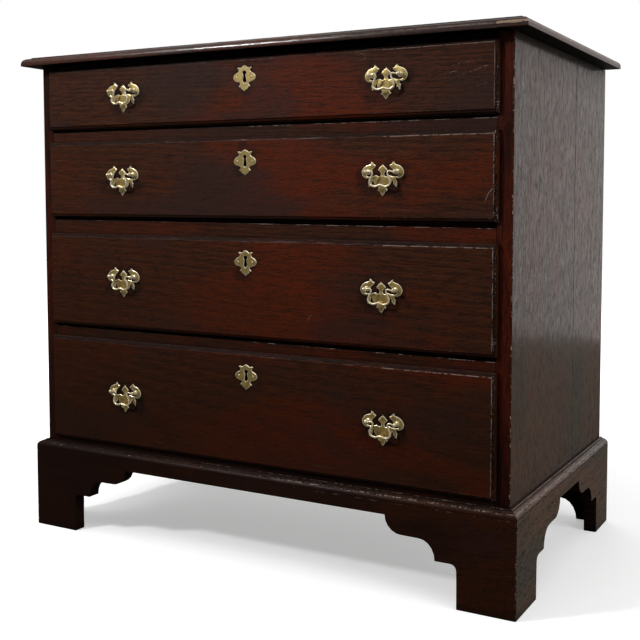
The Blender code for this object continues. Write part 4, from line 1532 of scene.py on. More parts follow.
@dataclass
class Carcass:
    """Sides, top, back, bottom and the rails between the drawers.

    The gap over a rail has one height at its left end and another at its right end. The side seeds pick
    the figure of the boards, and shares are of a side's depth or height, or of the top's depth.
    """

    body: str = "carcass"
    arris: float = 0.0012
    joint_share: float = 0.62
    joint_width: float = 0.0022
    joint_depth: float = 0.0013
    joint_open_share: float = 0.55
    top_joint_share: float = 0.46
    back_boards: int = 4
    back_spread: float = 0.18
    back_gap: float = 0.0014
    back_sink: float = 0.0008
    back_arris: float = 0.0011
    nail_levels: tuple[float, ...] = (0.16, 0.5, 0.84)
    nail_rise: float = 0.006
    nail_drift: float = 0.001
    nail_inset: float = 0.006
    nail_radius: float = 0.0024
    nail_height: float = 0.0007
    show_depth: float = 0.06
    gap_depth: float = 0.009
    rail_gaps: dict[str, Point] = field(
        default_factory=lambda: {
            "divider_1": (0.0040, 0.0048),
            "divider_2": (0.0048, 0.0080),
            "divider_3": (0.0045, 0.0062),
        }
    )
    seeds: dict[str, int] = field(default_factory=lambda: {"side_left": 11, "side_right": 23})
    top_marks: tuple[Mark, ...] = (
        Mark((0.452, -0.2725, 0.8862), (0.498, -0.2725, 0.8862), 0.0058, 60.0, 0.76, 0.50),
        Mark((0.10, -0.2730, 0.8865), (0.499, -0.2730, 0.8865), 0.0034, 40.0, 0.60, 0.18),
        Mark((-0.49, -0.2730, 0.8870), (0.20, -0.2730, 0.8870), 0.0030, 40.0, 0.52, 0.08),
        Mark((-0.49, -0.2700, 0.8925), (0.499, -0.2700, 0.8925), 0.0022, 8.0, 0.95, 0.70, dirt=True),
        Mark((0.4990, -0.27, 0.8870), (0.4990, 0.27, 0.8870), 0.0050, 70.0, 0.60, 0.34),
    )

    def build(self) -> None:
        """Makes every piece."""
        for node, seed in self.seeds.items():
            self._side(node, seed)
        self._top()
        self._rails()
        self._back()

    def _side(self, node: str, seed: int) -> None:
        """Makes one side, of two boards glued edge to edge.

        Args:
            node: The side's solid.
            seed: Number that picks the boards' figure.
        """
        low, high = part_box(node)
        left = node.endswith("left")
        outer = low.x if left else high.x
        inward = Vector((self.joint_depth if left else -self.joint_depth, 0, 0))
        joint_y = low.y + (high.y - low.y) * self.joint_share
        shape = cad_copy(node)
        round_arrises(shape, self.arris, shortest=0.2)
        score(shape, joint_y, self.joint_width, 0, outer, inward)
        for face in shape.faces:
            behind = face.calc_center_median().y > joint_y
            forward = face.normal.y < -SQUARE_ON
            face.material_index = 2 if forward else int(behind)
        ridge_y = joint_y - self.joint_width * 1.2
        ends = (outer, ridge_y, low.z), (outer, ridge_y, high.z)
        ridge = Mark(*ends, self.joint_width * 1.3, 14.0, 0.75, 0.22)
        split = low.z + (high.z - low.z) * self.joint_open_share
        foot, turn, head = ((outer, joint_y, z) for z in (low.z, split, high.z))
        line = Mark(foot, turn, self.joint_width, 9.0, 1.0, 0.9, dirt=True)
        faint = Mark(turn, head, self.joint_width * 0.7, 9.0, 0.9, 0.4, dirt=True)
        marks = (ridge, line, faint)
        boards = [SIDE_OAK.material(Board.UPRIGHT, seed + number, marks) for number in range(2)]
        stile = STILE_OAK.material(Board.STILE, seed + 5, self._stile_marks(outer, low, high))
        settle(shape, node + "_board", self.body, Slot.SIDE, *boards, stile, node=node)

    @staticmethod
    def _stile_marks(outer: float, low: Vector, high: Vector) -> list[Mark]:
        """Chips down a side's front arris, more of them at the right end of the chest.

        Args:
            outer: Place of the side's outer face.
            low: Lowest corner of the side.
            high: Highest corner of the side.

        Returns:
            The marks.
        """
        foot, head = (outer, low.y, low.z), (outer, low.y, high.z)
        right = outer > 0
        chips = Mark(foot, head, 0.0056, 62.0, 0.30 if right else 0.08, 0.75)
        specks = Mark(foot, head, 0.0040, 240.0, 0.36 if right else 0.16, 0.60)
        line = Mark(foot, head, 0.0026, 20.0, 0.8, 0.75, dirt=True)
        return [chips, specks, line]

    def _top(self) -> None:
        """Makes the top, of two boards."""
        low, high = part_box("top_board")
        joint_y = low.y + (high.y - low.y) * self.top_joint_share
        shape = cad_copy("top_board")
        round_arrises(shape, self.arris * 0.6, shortest=0.2)
        score(shape, joint_y, self.joint_width, 2, high.z, Vector((0, 0, -self.joint_depth * 0.6)))
        for face in shape.faces:
            face.material_index = int(face.calc_center_median().y > joint_y)
        boards = [TOP_OAK.material(Board.FLAT, 31 + number, self.top_marks) for number in range(2)]
        settle(shape, "top_boards", self.body, Slot.FRAME, *boards, node="top_board")

    def _rails(self) -> None:
        """Makes the rails between the drawers with their runners, and the bottom."""
        nodes = ("top_rail", "divider_1", "divider_2", "divider_3", "bottom_board")
        for seed, node in enumerate(nodes, 41):
            shape = cad_copy(node)
            front = min(vert.co.y for vert in shape.verts)
            if node in self.rail_gaps:
                shape = self._sink_rail(shape, node, front)
            round_arrises(shape, self.arris * 0.5, shortest=0.2)
            for face in shape.faces:
                face.material_index = int(face.calc_center_median().y > front + self.show_depth)
            finish = TOP_RAIL_OAK if node == "top_rail" else FRONT_OAK
            show = finish.material(Board.FRONT, seed, self._rail_marks(node))
            bare = BARE_OAK.material(Board.FLAT_RUN, seed + 10)
            settle(shape, node + "_wood", self.body, Slot.FRAME, show, bare, node=node)

    def _rail_marks(self, node: str) -> list[Mark]:
        """Wear along the top of a rail's front, mostly at its right end.

        Args:
            node: Name of the rail's solid.

        Returns:
            The marks.
        """
        if node not in self.rail_gaps:
            return []
        low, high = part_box(node)
        gap_left, gap_right = self.rail_gaps[node]
        ends = (low.x, low.y, high.z - gap_left), (high.x, low.y, high.z - gap_right)
        middle = ((ends[0][0] + ends[1][0]) / 2, low.y, (ends[0][2] + ends[1][2]) / 2)
        right = Mark(middle, ends[1], 0.0022, 40.0, 0.52, 0.55)
        left = Mark(ends[0], middle, 0.0016, 30.0, 0.30, 0.25)
        return [right, left]

    def _sink_rail(self, shape: Shape, node: str, front: float) -> Shape:
        """Lowers the top of a rail's front, where the drawer above stands clear of it.

        Args:
            shape: The rail.
            node: Name of its solid.
            front: Place of its front.

        Returns:
            The cut rail.
        """
        low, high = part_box(node)
        gap_left, gap_right = self.rail_gaps[node]
        corners = []
        for x, gap in ((low.x - self.gap_depth, gap_left), (high.x + self.gap_depth, gap_right)):
            floor = high.z - gap
            roof = high.z + self.gap_depth
            deep = front + self.gap_depth
            corners += [(x, front - gap, floor), (x, deep, floor), (x, deep, roof), (x, front - gap, roof)]
        return cut_away(shape, corners)

    def _back(self) -> None:
        """Makes the back, of level boards nailed into the sides' rebates."""
        low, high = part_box("back_panel")
        draw = random.Random(5)
        places = []
        materials = []
        shape = bmesh.new()
        boards = uneven_boards(low.z, high.z, self.back_boards, self.back_spread, draw)
        for number, (foot, head) in enumerate(boards):
            near = (low.x, low.y, foot + self.back_gap / 2)
            sunk = self.nail_height + draw.uniform(0.0, self.back_sink)
            far = (high.x, high.y - sunk, head - self.back_gap / 2)
            add_plank(shape, near, far, self.back_arris, number)
            materials.append(BACK_OAK.material(Board.FRONT, 61 + number))
            for x in (low.x + self.nail_inset, high.x - self.nail_inset):
                for up in self.nail_levels:
                    level = foot + (head - foot) * up + draw.uniform(-self.nail_rise, self.nail_rise)
                    drift = draw.uniform(-self.nail_drift, self.nail_drift)
                    places.append(Vector((x + drift, far[1], level)))
        settle(shape, "back_boards", self.body, Slot.INSIDE, *materials, node="back_panel")
        size = {"Radius": self.nail_radius, "Height": self.nail_height}
        values = {**size, "Seed": 3, "Smallest": 0.8, "Finish": IRON}
        fixings.set_heads(fixings.heads, places, 1, "back_nails", self.body, values)


@dataclass
class Plinth:
    """Moulded plinth boards, sawn into bracket feet, with their glue blocks."""

    body: str = "carcass"
    arris: float = 0.0013
    block_size: float = 0.026
    block_lift: float = 0.004
    block_gap: float = 0.0003
    block_room: float = 0.001
    block_arris: float = 0.001
    foot_thickness: float = 0.0243
    shaded_below: float = 0.150
    outer_least: float = 0.3
    # Pale lines along the moulding, stronger at the right end: wear with painted highlights. Dark lines in
    # its grooves: painted shade. Chips down the feet's arrises.
    front_marks: tuple[Mark, ...] = (
        Mark((-0.10, -0.2511, 0.1655), (0.486, -0.2511, 0.1655), 0.0024, 80.0, 0.50, 0.26),
        Mark((0.05, -0.2593, 0.1606), (0.486, -0.2593, 0.1606), 0.0036, 210.0, 0.46, 0.42),
        Mark((-0.45, -0.2593, 0.1606), (0.10, -0.2593, 0.1606), 0.0024, 120.0, 0.34, 0.25),
        Mark((0.10, -0.2627, 0.1512), (0.486, -0.2627, 0.1512), 0.0018, 90.0, 0.40, 0.16),
        Mark((-0.486, -0.2515, 0.1632), (0.486, -0.2515, 0.1632), 0.0024, 6.0, 1.0, 0.85, dirt=True),
        Mark((-0.486, -0.2629, 0.1534), (0.486, -0.2629, 0.1534), 0.0020, 8.0, 0.9, 0.70, dirt=True),
        Mark((0.4867, -0.2627, 0.0), (0.4867, -0.2627, 0.16), 0.0060, 130.0, 0.38, 0.50),
        Mark((-0.4867, -0.2627, 0.03), (-0.4867, -0.2627, 0.10), 0.0040, 90.0, 0.30, 0.45),
    )
    # Pale lines along the side moulding: wear with painted highlights. Dark lines in its grooves: painted
    # shade. Chips down the foot's arris.
    side_marks: tuple[Mark, ...] = (
        Mark((0.4867, -0.2627, 0.0), (0.4867, -0.2627, 0.16), 0.0046, 160.0, 0.36, 0.45),
        Mark((0.4751, -0.262, 0.1655), (0.4751, 0.27, 0.1655), 0.0026, 60.0, 0.70, 0.40),
        Mark((0.4833, -0.262, 0.1606), (0.4833, 0.27, 0.1606), 0.0030, 60.0, 0.66, 0.36),
        Mark((0.4867, -0.262, 0.1512), (0.4867, 0.27, 0.1512), 0.0018, 60.0, 0.56, 0.26),
        Mark((0.4755, -0.262, 0.1632), (0.4755, 0.27, 0.1632), 0.0026, 6.0, 1.0, 0.90, dirt=True),
        Mark((0.4869, -0.262, 0.1534), (0.4869, 0.27, 0.1534), 0.0020, 8.0, 0.9, 0.75, dirt=True),
    )

    def build(self) -> None:
        """Makes every piece."""
        mirror = Vector((-1, 1, 1))
        left_marks = [
            replace(mark, start=tuple(Vector(mark.start) * mirror), end=tuple(Vector(mark.end) * mirror))
            for mark in self.side_marks
        ]
        self._board("plinth_front", Board.FRONT, 71, self.front_marks)
        self._board("plinth_left", Board.RUN, 72, left_marks)
        self._board("plinth_right", Board.RUN, 73, self.side_marks)
        self._blocks()

    def _board(self, node: str, board: Board, seed: int, marks: Sequence[Mark]) -> None:
        """Makes one plinth board, with painted shade, a darker oak, on its inner faces and sawn edges.

        Args:
            node: The board's solid.
            board: How the board lies.
            seed: Number that picks its figure.
            marks: Its chips, painted highlight lines along the moulding, and lines of painted shade in its
                grooves.
        """
        low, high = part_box(node)
        outward = Vector((0, -1, 0))
        if board is Board.RUN:
            outward = Vector((math.copysign(1, low.x + high.x), 0, 0))
        shape = cad_copy(node)
        round_arrises(shape, self.arris, shortest=0.03)
        # Inner faces and sawn edges low down take the darker oak: painted shade.
        for face in shape.faces:
            inner = face.normal.dot(outward) < self.outer_least
            face.material_index = int(inner and face.calc_center_median().z < self.shaded_below)
        finish = FOOT_OAK if board is Board.RUN else PLINTH_OAK
        show, dark = finish.material(board, seed, marks), SHADED_OAK.material(Board.FRONT, seed + 8)
        settle(shape, node + "_board", self.body, Slot.FRAME, show, dark, node=node)

    def _blocks(self) -> None:
        """Makes the glue blocks behind the front feet."""
        front_low, front_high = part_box("plinth_front")
        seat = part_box("side_right")[0].z - self.block_room
        size = self.block_size
        shape = bmesh.new()
        for hand in Hand:
            inner_x = hand.value * (front_high.x - self.foot_thickness)
            ends = sorted((inner_x, inner_x - hand.value * size))
            near = (ends[0], front_high.y + self.block_gap, self.block_lift)
            far = (ends[1], front_high.y + size, seat)
            add_plank(shape, near, far, self.block_arris)
        settle(shape, "glue_blocks", self.body, Slot.INSIDE, BACK_OAK.material(Board.UPRIGHT, 91))


def rounded_outline(points: Sequence[Point], steps: int, corner: float) -> list[Point]:
    """Draws a closed outline through points, round except at its corners.

    Args:
        points: The points, in order.
        steps: Points on each stretch.
        corner: Turn from which a point is a sharp corner, in radians.

    Returns:
        The finer outline.
    """
    knots = [Vector(point) for point in points]
    count = len(knots)
    slopes = []
    for place, knot in enumerate(knots):
        before, after = knots[place - 1], knots[(place + 1) % count]
        into, out = knot - before, after - knot
        slope = (after - before) / 2
        sharp = into.angle(out) > corner
        slopes.append((into, out) if sharp else (slope, slope))
    outline = []
    for place, knot in enumerate(knots):
        nxt = (place + 1) % count
        length = (knots[nxt] - knot).length
        leave = slopes[place][1]
        arrive = slopes[nxt][0]
        leave = leave * (length / max(leave.length, MERGE))
        arrive = arrive * (length / max(arrive.length, MERGE))
        for step in range(steps):
            t = step / steps
            start = (2 * t**3 - 3 * t**2 + 1) * knot + (t**3 - 2 * t**2 + t) * leave
            end = (3 * t**2 - 2 * t**3) * knots[nxt] + (t**3 - t**2) * arrive
            outline.append(tuple(start + end))
    return outline


def inset_outline(outline: Sequence[Point], amount: float) -> list[Point]:
    """Moves an anticlockwise outline inwards, less where it would cross itself.

    Args:
        outline: The outline.
        amount: How far it moves.

    Returns:
        The inner outline, point for point.
    """
    sharpest, folded = 0.6, 0.05
    least_share, clear_share, step_back = 0.15, 0.72, 0.8
    knots = [Vector(point) for point in outline]
    count = len(knots)
    inner = []
    for place, knot in enumerate(knots):
        into = (knot - knots[place - 1]).normalized()
        out = (knots[(place + 1) % count] - knot).normalized()
        normal = Vector((-(into.y + out.y), into.x + out.x))
        if normal.length < folded:
            normal = Vector((-into.y, into.x))
        normal.normalize()
        across = Vector((-into.y, into.x))
        reach = amount / max(sharpest, normal.dot(across))
        while reach > amount * least_share:
            target = knot + normal * reach
            if min_distance(target, knots) > amount * clear_share:
                break
            reach *= step_back
        inner.append(tuple(knot + normal * reach))
    return inner


def min_distance(place: Vector, knots: Sequence[Vector]) -> float:
    """Distance of a point from a closed outline.

    Args:
        place: The point.
        knots: Points of the outline.

    Returns:
        The least distance.
    """
    least = math.inf
    for number, start in enumerate(knots):
        end = knots[(number + 1) % len(knots)]
        along = end - start
        share = (place - start).dot(along) / max(along.length_squared, MERGE**2)
        least = min(least, (start + along * min(1.0, max(0.0, share)) - place).length)
    return least


def mirrored_loop(right: Sequence[Point]) -> list[Point]:
    """Closes a right half, given from top to bottom, to an anticlockwise loop."""
    left = [(-x, z) for x, z in right if abs(x) > MERGE]
    return [*left, *reversed(right)]


@dataclass(frozen=True)
class CastPlate:
    """Flat cast plate whose rims are filed to a slope: its thickness, and the slope's width and height."""

    thickness: float
    rim_width: float
    rim_drop: float

    def shape(self, outer: Sequence[Point], hole: Sequence[Point] | None = None) -> Shape:
        """Makes the plate round its own middle, with its back at y 0 and its face towards -Y.

        Args:
            outer: Anticlockwise outline.
            hole: Clockwise outline of a hole, if there is one.

        Returns:
            The shape.
        """
        shape = bmesh.new()
        faces_y = (0.0, -(self.thickness - self.rim_drop), -self.thickness)
        backs = []
        fronts = []
        for outline in (outer, hole):
            if outline is None:
                continue
            levels = (outline, outline, inset_outline(outline, self.rim_width))
            rings = [self._ring(shape, ring, y) for ring, y in zip(levels, faces_y)]
            for lower, upper in zip(rings, rings[1:]):
                self._band(shape, lower, upper, rim=upper is rings[2])
            backs += self._edges(shape, rings[0])
            fronts += self._edges(shape, rings[2])
        for edges in (backs, fronts):
            bmesh.ops.triangle_fill(shape, use_beauty=True, use_dissolve=False, edges=edges)
        bmesh.ops.recalc_face_normals(shape, faces=shape.faces)
        return shape

    @staticmethod
    def _ring(shape: Shape, outline: Sequence[Point], y: float) -> list:
        """Adds the points of an outline at one depth."""
        return [shape.verts.new((x, y, z)) for x, z in outline]

    @staticmethod
    def _edges(shape: Shape, ring: Sequence) -> list:
        """Finds the edges round a ring of points."""
        pairs = zip(ring, [*ring[1:], ring[0]])
        return [shape.edges.get(pair) or shape.edges.new(pair) for pair in pairs]

    @staticmethod
    def _band(shape: Shape, lower: Sequence, upper: Sequence, rim: bool) -> None:
        """Adds the faces between two rings.

        Args:
            shape: The shape.
            lower: Points of one ring.
            upper: Points of the other.
            rim: Whether the band is a filed rim, which has the second material: the lighter rubbed brass,
                which also paints the rim's highlight.
        """
        count = len(lower)
        for place in range(count):
            nxt = (place + 1) % count
            face = shape.faces.new((lower[place], lower[nxt], upper[nxt], upper[place]))
            face.material_index = int(rim)


def turned_shape(profile: Sequence[Point], sides: int) -> Shape:
    """Turns a profile round the Y axis.

    Args:
        profile: Radius and y of each point, with 0 as the radius at both ends.
        sides: Faces round the axis.

    Returns:
        The shape.
    """
    shape = bmesh.new()
    rings = []
    for radius, y in profile:
        if radius < MERGE:
            rings.append([shape.verts.new((0.0, y, 0.0))])
            continue
        angles = [math.tau * step / sides for step in range(sides)]
        rings.append([shape.verts.new((radius * math.cos(a), y, radius * math.sin(a))) for a in angles])
    for lower, upper in zip(rings, rings[1:]):
        for place in range(sides):
            nxt = (place + 1) % sides
            corners = [lower[place % len(lower)], lower[nxt % len(lower)]]
            corners += [upper[nxt % len(upper)], upper[place % len(upper)]]
            shape.faces.new(list(dict.fromkeys(corners)))
    bmesh.ops.recalc_face_normals(shape, faces=shape.faces)
    return shape


def merge_into(shape: Shape, other: Shape, place: Vector) -> None:
    """Adds a moved copy of one shape to another.

    Args:
        shape: The shape that grows.
        other: The shape that is copied.
        place: How far the copy is moved.
    """
    mesh = bpy.data.meshes.new("copy")
    other.to_mesh(mesh)
    mesh.transform(Matrix.Translation(place))
    shape.from_mesh(mesh)
    bpy.data.meshes.remove(mesh)


@dataclass
class Handle:
    """Cast plate with two posts, their nuts behind the front, and the bail.

    The plate's outline is in shares of its half width and its height, and the bail's route in shares of
    the posts' half spread and the bail's drop, both from the middle between the posts.
    """

    number: int
    hand: Hand
    half_width: float = 0.0370
    height: float = 0.0540
    thickness: float = 0.0016
    rim_width: float = 0.00125
    rim_drop: float = 0.0009
    corner: float = math.radians(48)
    post_half_spread: float = 0.0255
    post_stand: float = 0.0090
    ball_radius: float = 0.0033
    bail_radius: float = 0.00125
    bail_drop: float = 0.0225

    outline_shares = (
        (0.0, 0.226), (0.035, 0.188), (0.10, 0.150), (0.165, 0.105), (0.225, 0.062), (0.185, 0.030),
        (0.115, -0.005), (0.075, -0.05), (0.085, -0.10), (0.15, -0.140), (0.23, -0.125), (0.30, -0.098),
        (0.40, -0.12), (0.53, -0.135), (0.66, -0.135), (0.76, -0.115), (0.74, -0.085), (0.60, -0.072),
        (0.555, -0.035), (0.525, 0.02), (0.46, 0.082), (0.38, 0.125), (0.31, 0.178), (0.35, 0.205),
        (0.42, 0.222), (0.46, 0.262), (0.55, 0.30), (0.555, 0.255), (0.60, 0.223), (0.69, 0.204),
        (0.84, 0.160), (0.95, 0.08), (1.0, -0.01), (0.965, -0.10), (0.87, -0.165), (0.74, -0.190),
        (0.62, -0.182), (0.645, -0.25), (0.70, -0.315), (0.655, -0.345), (0.665, -0.40), (0.64, -0.444),
        (0.575, -0.39), (0.555, -0.335), (0.515, -0.375), (0.50, -0.30), (0.46, -0.245), (0.425, -0.26),
        (0.41, -0.31), (0.36, -0.37), (0.27, -0.42), (0.17, -0.455), (0.195, -0.49), (0.245, -0.53),
        (0.165, -0.575), (0.13, -0.555), (0.09, -0.625), (0.0, -0.70),
    )
    bail_shares = (
        (0.96, 0.0), (0.84, 0.0), (0.74, 0.035), (0.64, 0.055), (0.545, 0.0), (0.515, -0.10), (0.555, -0.26),
        (0.635, -0.44), (0.70, -0.62), (0.70, -0.79), (0.61, -0.93), (0.46, -1.0), (0.30, -1.015),
        (0.15, -0.965), (0.0, -0.925),
    )
    bail_girths = (
        1.0, 1.0, 1.05, 1.1, 1.1, 1.1, 1.15, 1.2, 1.25, 1.3, 1.35, 1.4, 1.5, 1.62, 1.7,
    )

    @property
    def body(self) -> str:
        """Body of the drawer that carries the handle."""
        return f"drawer_{self.number}"

    @property
    def label(self) -> str:
        """Number and side, as the frame's names have them."""
        return f"{self.number}_{self.hand.word}"

    def middle(self) -> Vector:
        """Middle between the posts, on the back of the plate.

        Returns:
            The place.
        """
        low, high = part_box(f"handle_{self.label}")
        back_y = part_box(f"drawer_{self.number}_front")[0].y - PLATE_STAND
        tip_share = self.outline_shares[-1][1]
        return Vector(((low.x + high.x) / 2, back_y, low.z - tip_share * self.height))

    def build(self) -> None:
        """Makes the plate with its posts, the nuts and the bail."""
        middle = self.middle()
        self._plate(middle)
        self._nuts(middle)
        self._bail(middle)

    def _plate(self, middle: Vector) -> None:
        """Makes the plate and its posts.

        Args:
            middle: Middle between the posts, on the back of the plate.
        """
        right = [(x * self.half_width, z * self.height) for x, z in self.outline_shares]
        outline = rounded_outline(mirrored_loop(right), 3, self.corner)
        plate = CastPlate(self.thickness, self.rim_width, self.rim_drop).shape(outline)
        post = turned_shape(self._post_profile(), sides=24)
        # Posts take the second material, the lighter rubbed brass: wear with a painted highlight.
        for face in post.faces:
            face.material_index = 1
        for hand in Hand:
            merge_into(plate, post, Vector((hand.value * self.post_half_spread, -self.thickness, 0)))
        post.free()
        bmesh.ops.translate(plate, vec=middle, verts=plate.verts)
        name, node = f"plate_{self.label}", f"handle_{self.label}"
        settle(plate, name, self.body, Slot.BRASS, BRASS, RUBBED_AND_HIGHLIGHT, node=node)

    def _post_profile(self) -> list[Point]:
        """Profile of a post, from its ball in to the plate.

        Returns:
            Radius and y of each point.
        """
        ball_y = -self.post_stand
        turns = [math.radians(90 - 10 * step) for step in range(14)]
        ball = [
            (self.ball_radius * math.cos(turn), ball_y - self.ball_radius * math.sin(turn)) for turn in turns
        ]
        neck = [(0.0021, ball_y + 0.0030), (0.0021, -0.0021), (0.0026, -0.0016), (0.0036, -0.0013)]
        base = [(0.0042, -0.0008), (0.0043, 0.0), (0.0040, 0.0003), (0.0, 0.0003)]
        return [(0.0, ball[0][1]), *ball[1:], *neck, *base]

    def _nuts(self, middle: Vector) -> None:
        """Makes the nuts behind the drawer front.

        Args:
            middle: Middle between the posts, on the back of the plate.
        """
        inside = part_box(f"handle_{self.label}")[1].y - SHANK_END
        places = [Vector((middle.x + hand.value * self.post_half_spread, inside, middle.z)) for hand in Hand]
        values = {"Finish": BRASS, "Seed": self.number * 2 + self.hand.value, "Smallest": 1.0}
        fixings.set_heads(fixings.nuts, places, 1, f"nuts_{self.label}", self.body, values)

    def _bail(self, middle: Vector) -> None:
        """Makes the bail.

        Args:
            middle: Middle between the posts, on the back of the plate.
        """
        low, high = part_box(f"bail_{self.label}")
        pivot_y = (low.y + high.y) / 2
        right = [(x * self.post_half_spread, z * self.bail_drop) for x, z in self.bail_shares]
        reach = self.post_half_spread - self.ball_radius * 0.6
        right[0] = (reach, right[0][1])
        points = [*right, *[(-x, z) for x, z in reversed(right[:-1])]]
        girths = [*self.bail_girths, *reversed(self.bail_girths[:-1])]
        route = [(middle.x + x, pivot_y, middle.z + z) for x, z in points]
        name = f"bail_{self.label}_bar"
        # The bail takes the lighter rubbed brass: wear with a painted highlight.
        mesh = fixings.sweep(route, girths, name, {"Radius": self.bail_radius, "Finish": RUBBED_AND_HIGHLIGHT})
        piece = hand_over(mesh, name, f"bail_{self.label}")
        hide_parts(f"bail_{self.label}")


@dataclass
class Escutcheon:
    """Pierced plate round a keyhole, with its two pins."""

    number: int
    half_width: float = 0.0225
    height: float = 0.0443
    thickness: float = 0.0014
    rim_width: float = 0.0010
    rim_drop: float = 0.0008
    corner: float = math.radians(50)
    pin_spread: float = 0.0146
    pin_radius: float = 0.0017
    pin_height: float = 0.0010
    keyhole_radius: float = 0.0037
    keyhole_rise: float = 0.0070
    keyhole_waist: float = 0.0019
    keyhole_skirt: float = 0.0036
    keyhole_skirt_drop: float = 0.0070
    keyhole_point_drop: float = 0.0100

    outline_shares = (
        (0.0, 0.458), (0.055, 0.425), (0.15, 0.415), (0.24, 0.375), (0.32, 0.350), (0.44, 0.360),
        (0.56, 0.372), (0.67, 0.345), (0.60, 0.315), (0.52, 0.285), (0.525, 0.225), (0.60, 0.182),
        (0.72, 0.150), (0.86, 0.112), (0.96, 0.055), (1.0, 0.0), (0.965, -0.065), (0.87, -0.122),
        (0.74, -0.158), (0.58, -0.178), (0.42, -0.205), (0.37, -0.245), (0.41, -0.290), (0.52, -0.335),
        (0.50, -0.365), (0.40, -0.372), (0.33, -0.400), (0.26, -0.450), (0.15, -0.475), (0.08, -0.505),
        (0.0, -0.542),
    )

    @property
    def body(self) -> str:
        """Body of the drawer that carries the plate."""
        return f"drawer_{self.number}"

    def middle(self) -> Vector:
        """Middle of the keyhole, on the back of the plate.

        Returns:
            The place.
        """
        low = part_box(f"escutcheon_{self.number}")[0]
        back_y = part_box(f"drawer_{self.number}_front")[0].y - PLATE_STAND
        return Vector((0.0, back_y, low.z - self.outline_shares[-1][1] * self.height))

    def keyhole(self) -> list[Point]:
        """Draws the keyhole, clockwise.

        Returns:
            The outline.
        """
        start = math.asin(self.keyhole_waist / self.keyhole_radius) - math.pi / 2
        turns = [start + (math.pi / 2 - start) * step / 8 for step in range(9)]
        head = [
            (self.keyhole_radius * math.cos(turn), self.keyhole_rise + self.keyhole_radius * math.sin(turn))
            for turn in turns
        ]
        skirt = (self.keyhole_skirt, -self.keyhole_skirt_drop)
        right = [(0.0, -self.keyhole_point_drop), skirt, *head]
        left = [(-x, z) for x, z in reversed(right[1:-1])]
        return list(reversed([*right, *left]))

    def build(self) -> None:
        """Makes the plate and its pins."""
        middle = self.middle()
        right = [(x * self.half_width, z * self.height) for x, z in self.outline_shares]
        outline = rounded_outline(mirrored_loop(right), 3, self.corner)
        plate = CastPlate(self.thickness, self.rim_width, self.rim_drop).shape(outline, self.keyhole())
        bmesh.ops.translate(plate, vec=middle, verts=plate.verts)
        name = f"escutcheon_{self.number}"
        # Rims and pins take the lighter rubbed brass: wear with a painted highlight.
        settle(plate, f"{name}_plate", self.body, Slot.BRASS, BRASS, RUBBED_AND_HIGHLIGHT, node=name)
        pins = [middle + Vector((hand.value * self.pin_spread, -self.thickness, 0.0)) for hand in Hand]
        values = {"Radius": self.pin_radius, "Height": self.pin_height, "Smallest": 0.92, "Finish": RUBBED_AND_HIGHLIGHT}
        fixings.set_heads(fixings.heads, pins, -1, f"{name}_pins", self.body, values)


@dataclass
class Lock:
    """Lock case let into the back of a drawer front, with its bolt and screws."""

    number: int
    arris: float = 0.0004
    screw_inset: float = 0.0055
    screw_radius: float = 0.0030
    screw_height: float = 0.0005
    boss_sink: float = 0.0002
    boss_profile: tuple[Point, ...] = (
        (0.0, 0.0), (0.0062, 0.0), (0.0062, 0.0004), (0.0056, 0.0008), (0.0, 0.0008),
    )

    def build(self) -> None:
        """Makes the case, the bolt and the screws."""
        body = f"drawer_{self.number}"
        node = f"lock_case_{self.number}"
        low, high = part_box(node)
        shape = cad_copy(node)
        round_arrises(shape, self.arris, shortest=0.02)
        boss = turned_shape(self.boss_profile, sides=28)
        merge_into(shape, boss, Vector((0.0, high.y - self.boss_sink, (low.z + high.z) / 2)))
        boss.free()
        settle(shape, f"lock_{self.number}_case", body, Slot.IRON, IRON, node=node)
        across = (low.x + self.screw_inset, high.x - self.screw_inset)
        up = (low.z + self.screw_inset, high.z - self.screw_inset)
        places = [Vector((x, high.y, z)) for x in across for z in up]
        size = {"Radius": self.screw_radius, "Height": self.screw_height, "Smallest": 0.96}
        values = {**size, "Seed": self.number, "Finish": IRON}
        fixings.set_heads(fixings.screws, places, 1, f"lock_{self.number}_screws", body, values)
        node = f"lock_bolt_{self.number}"
        bolt = cad_copy(node)
        round_arrises(bolt, self.arris, shortest=0.002)
        settle(bolt, f"lock_{self.number}_bolt", node, Slot.IRON, IRON, node=node)


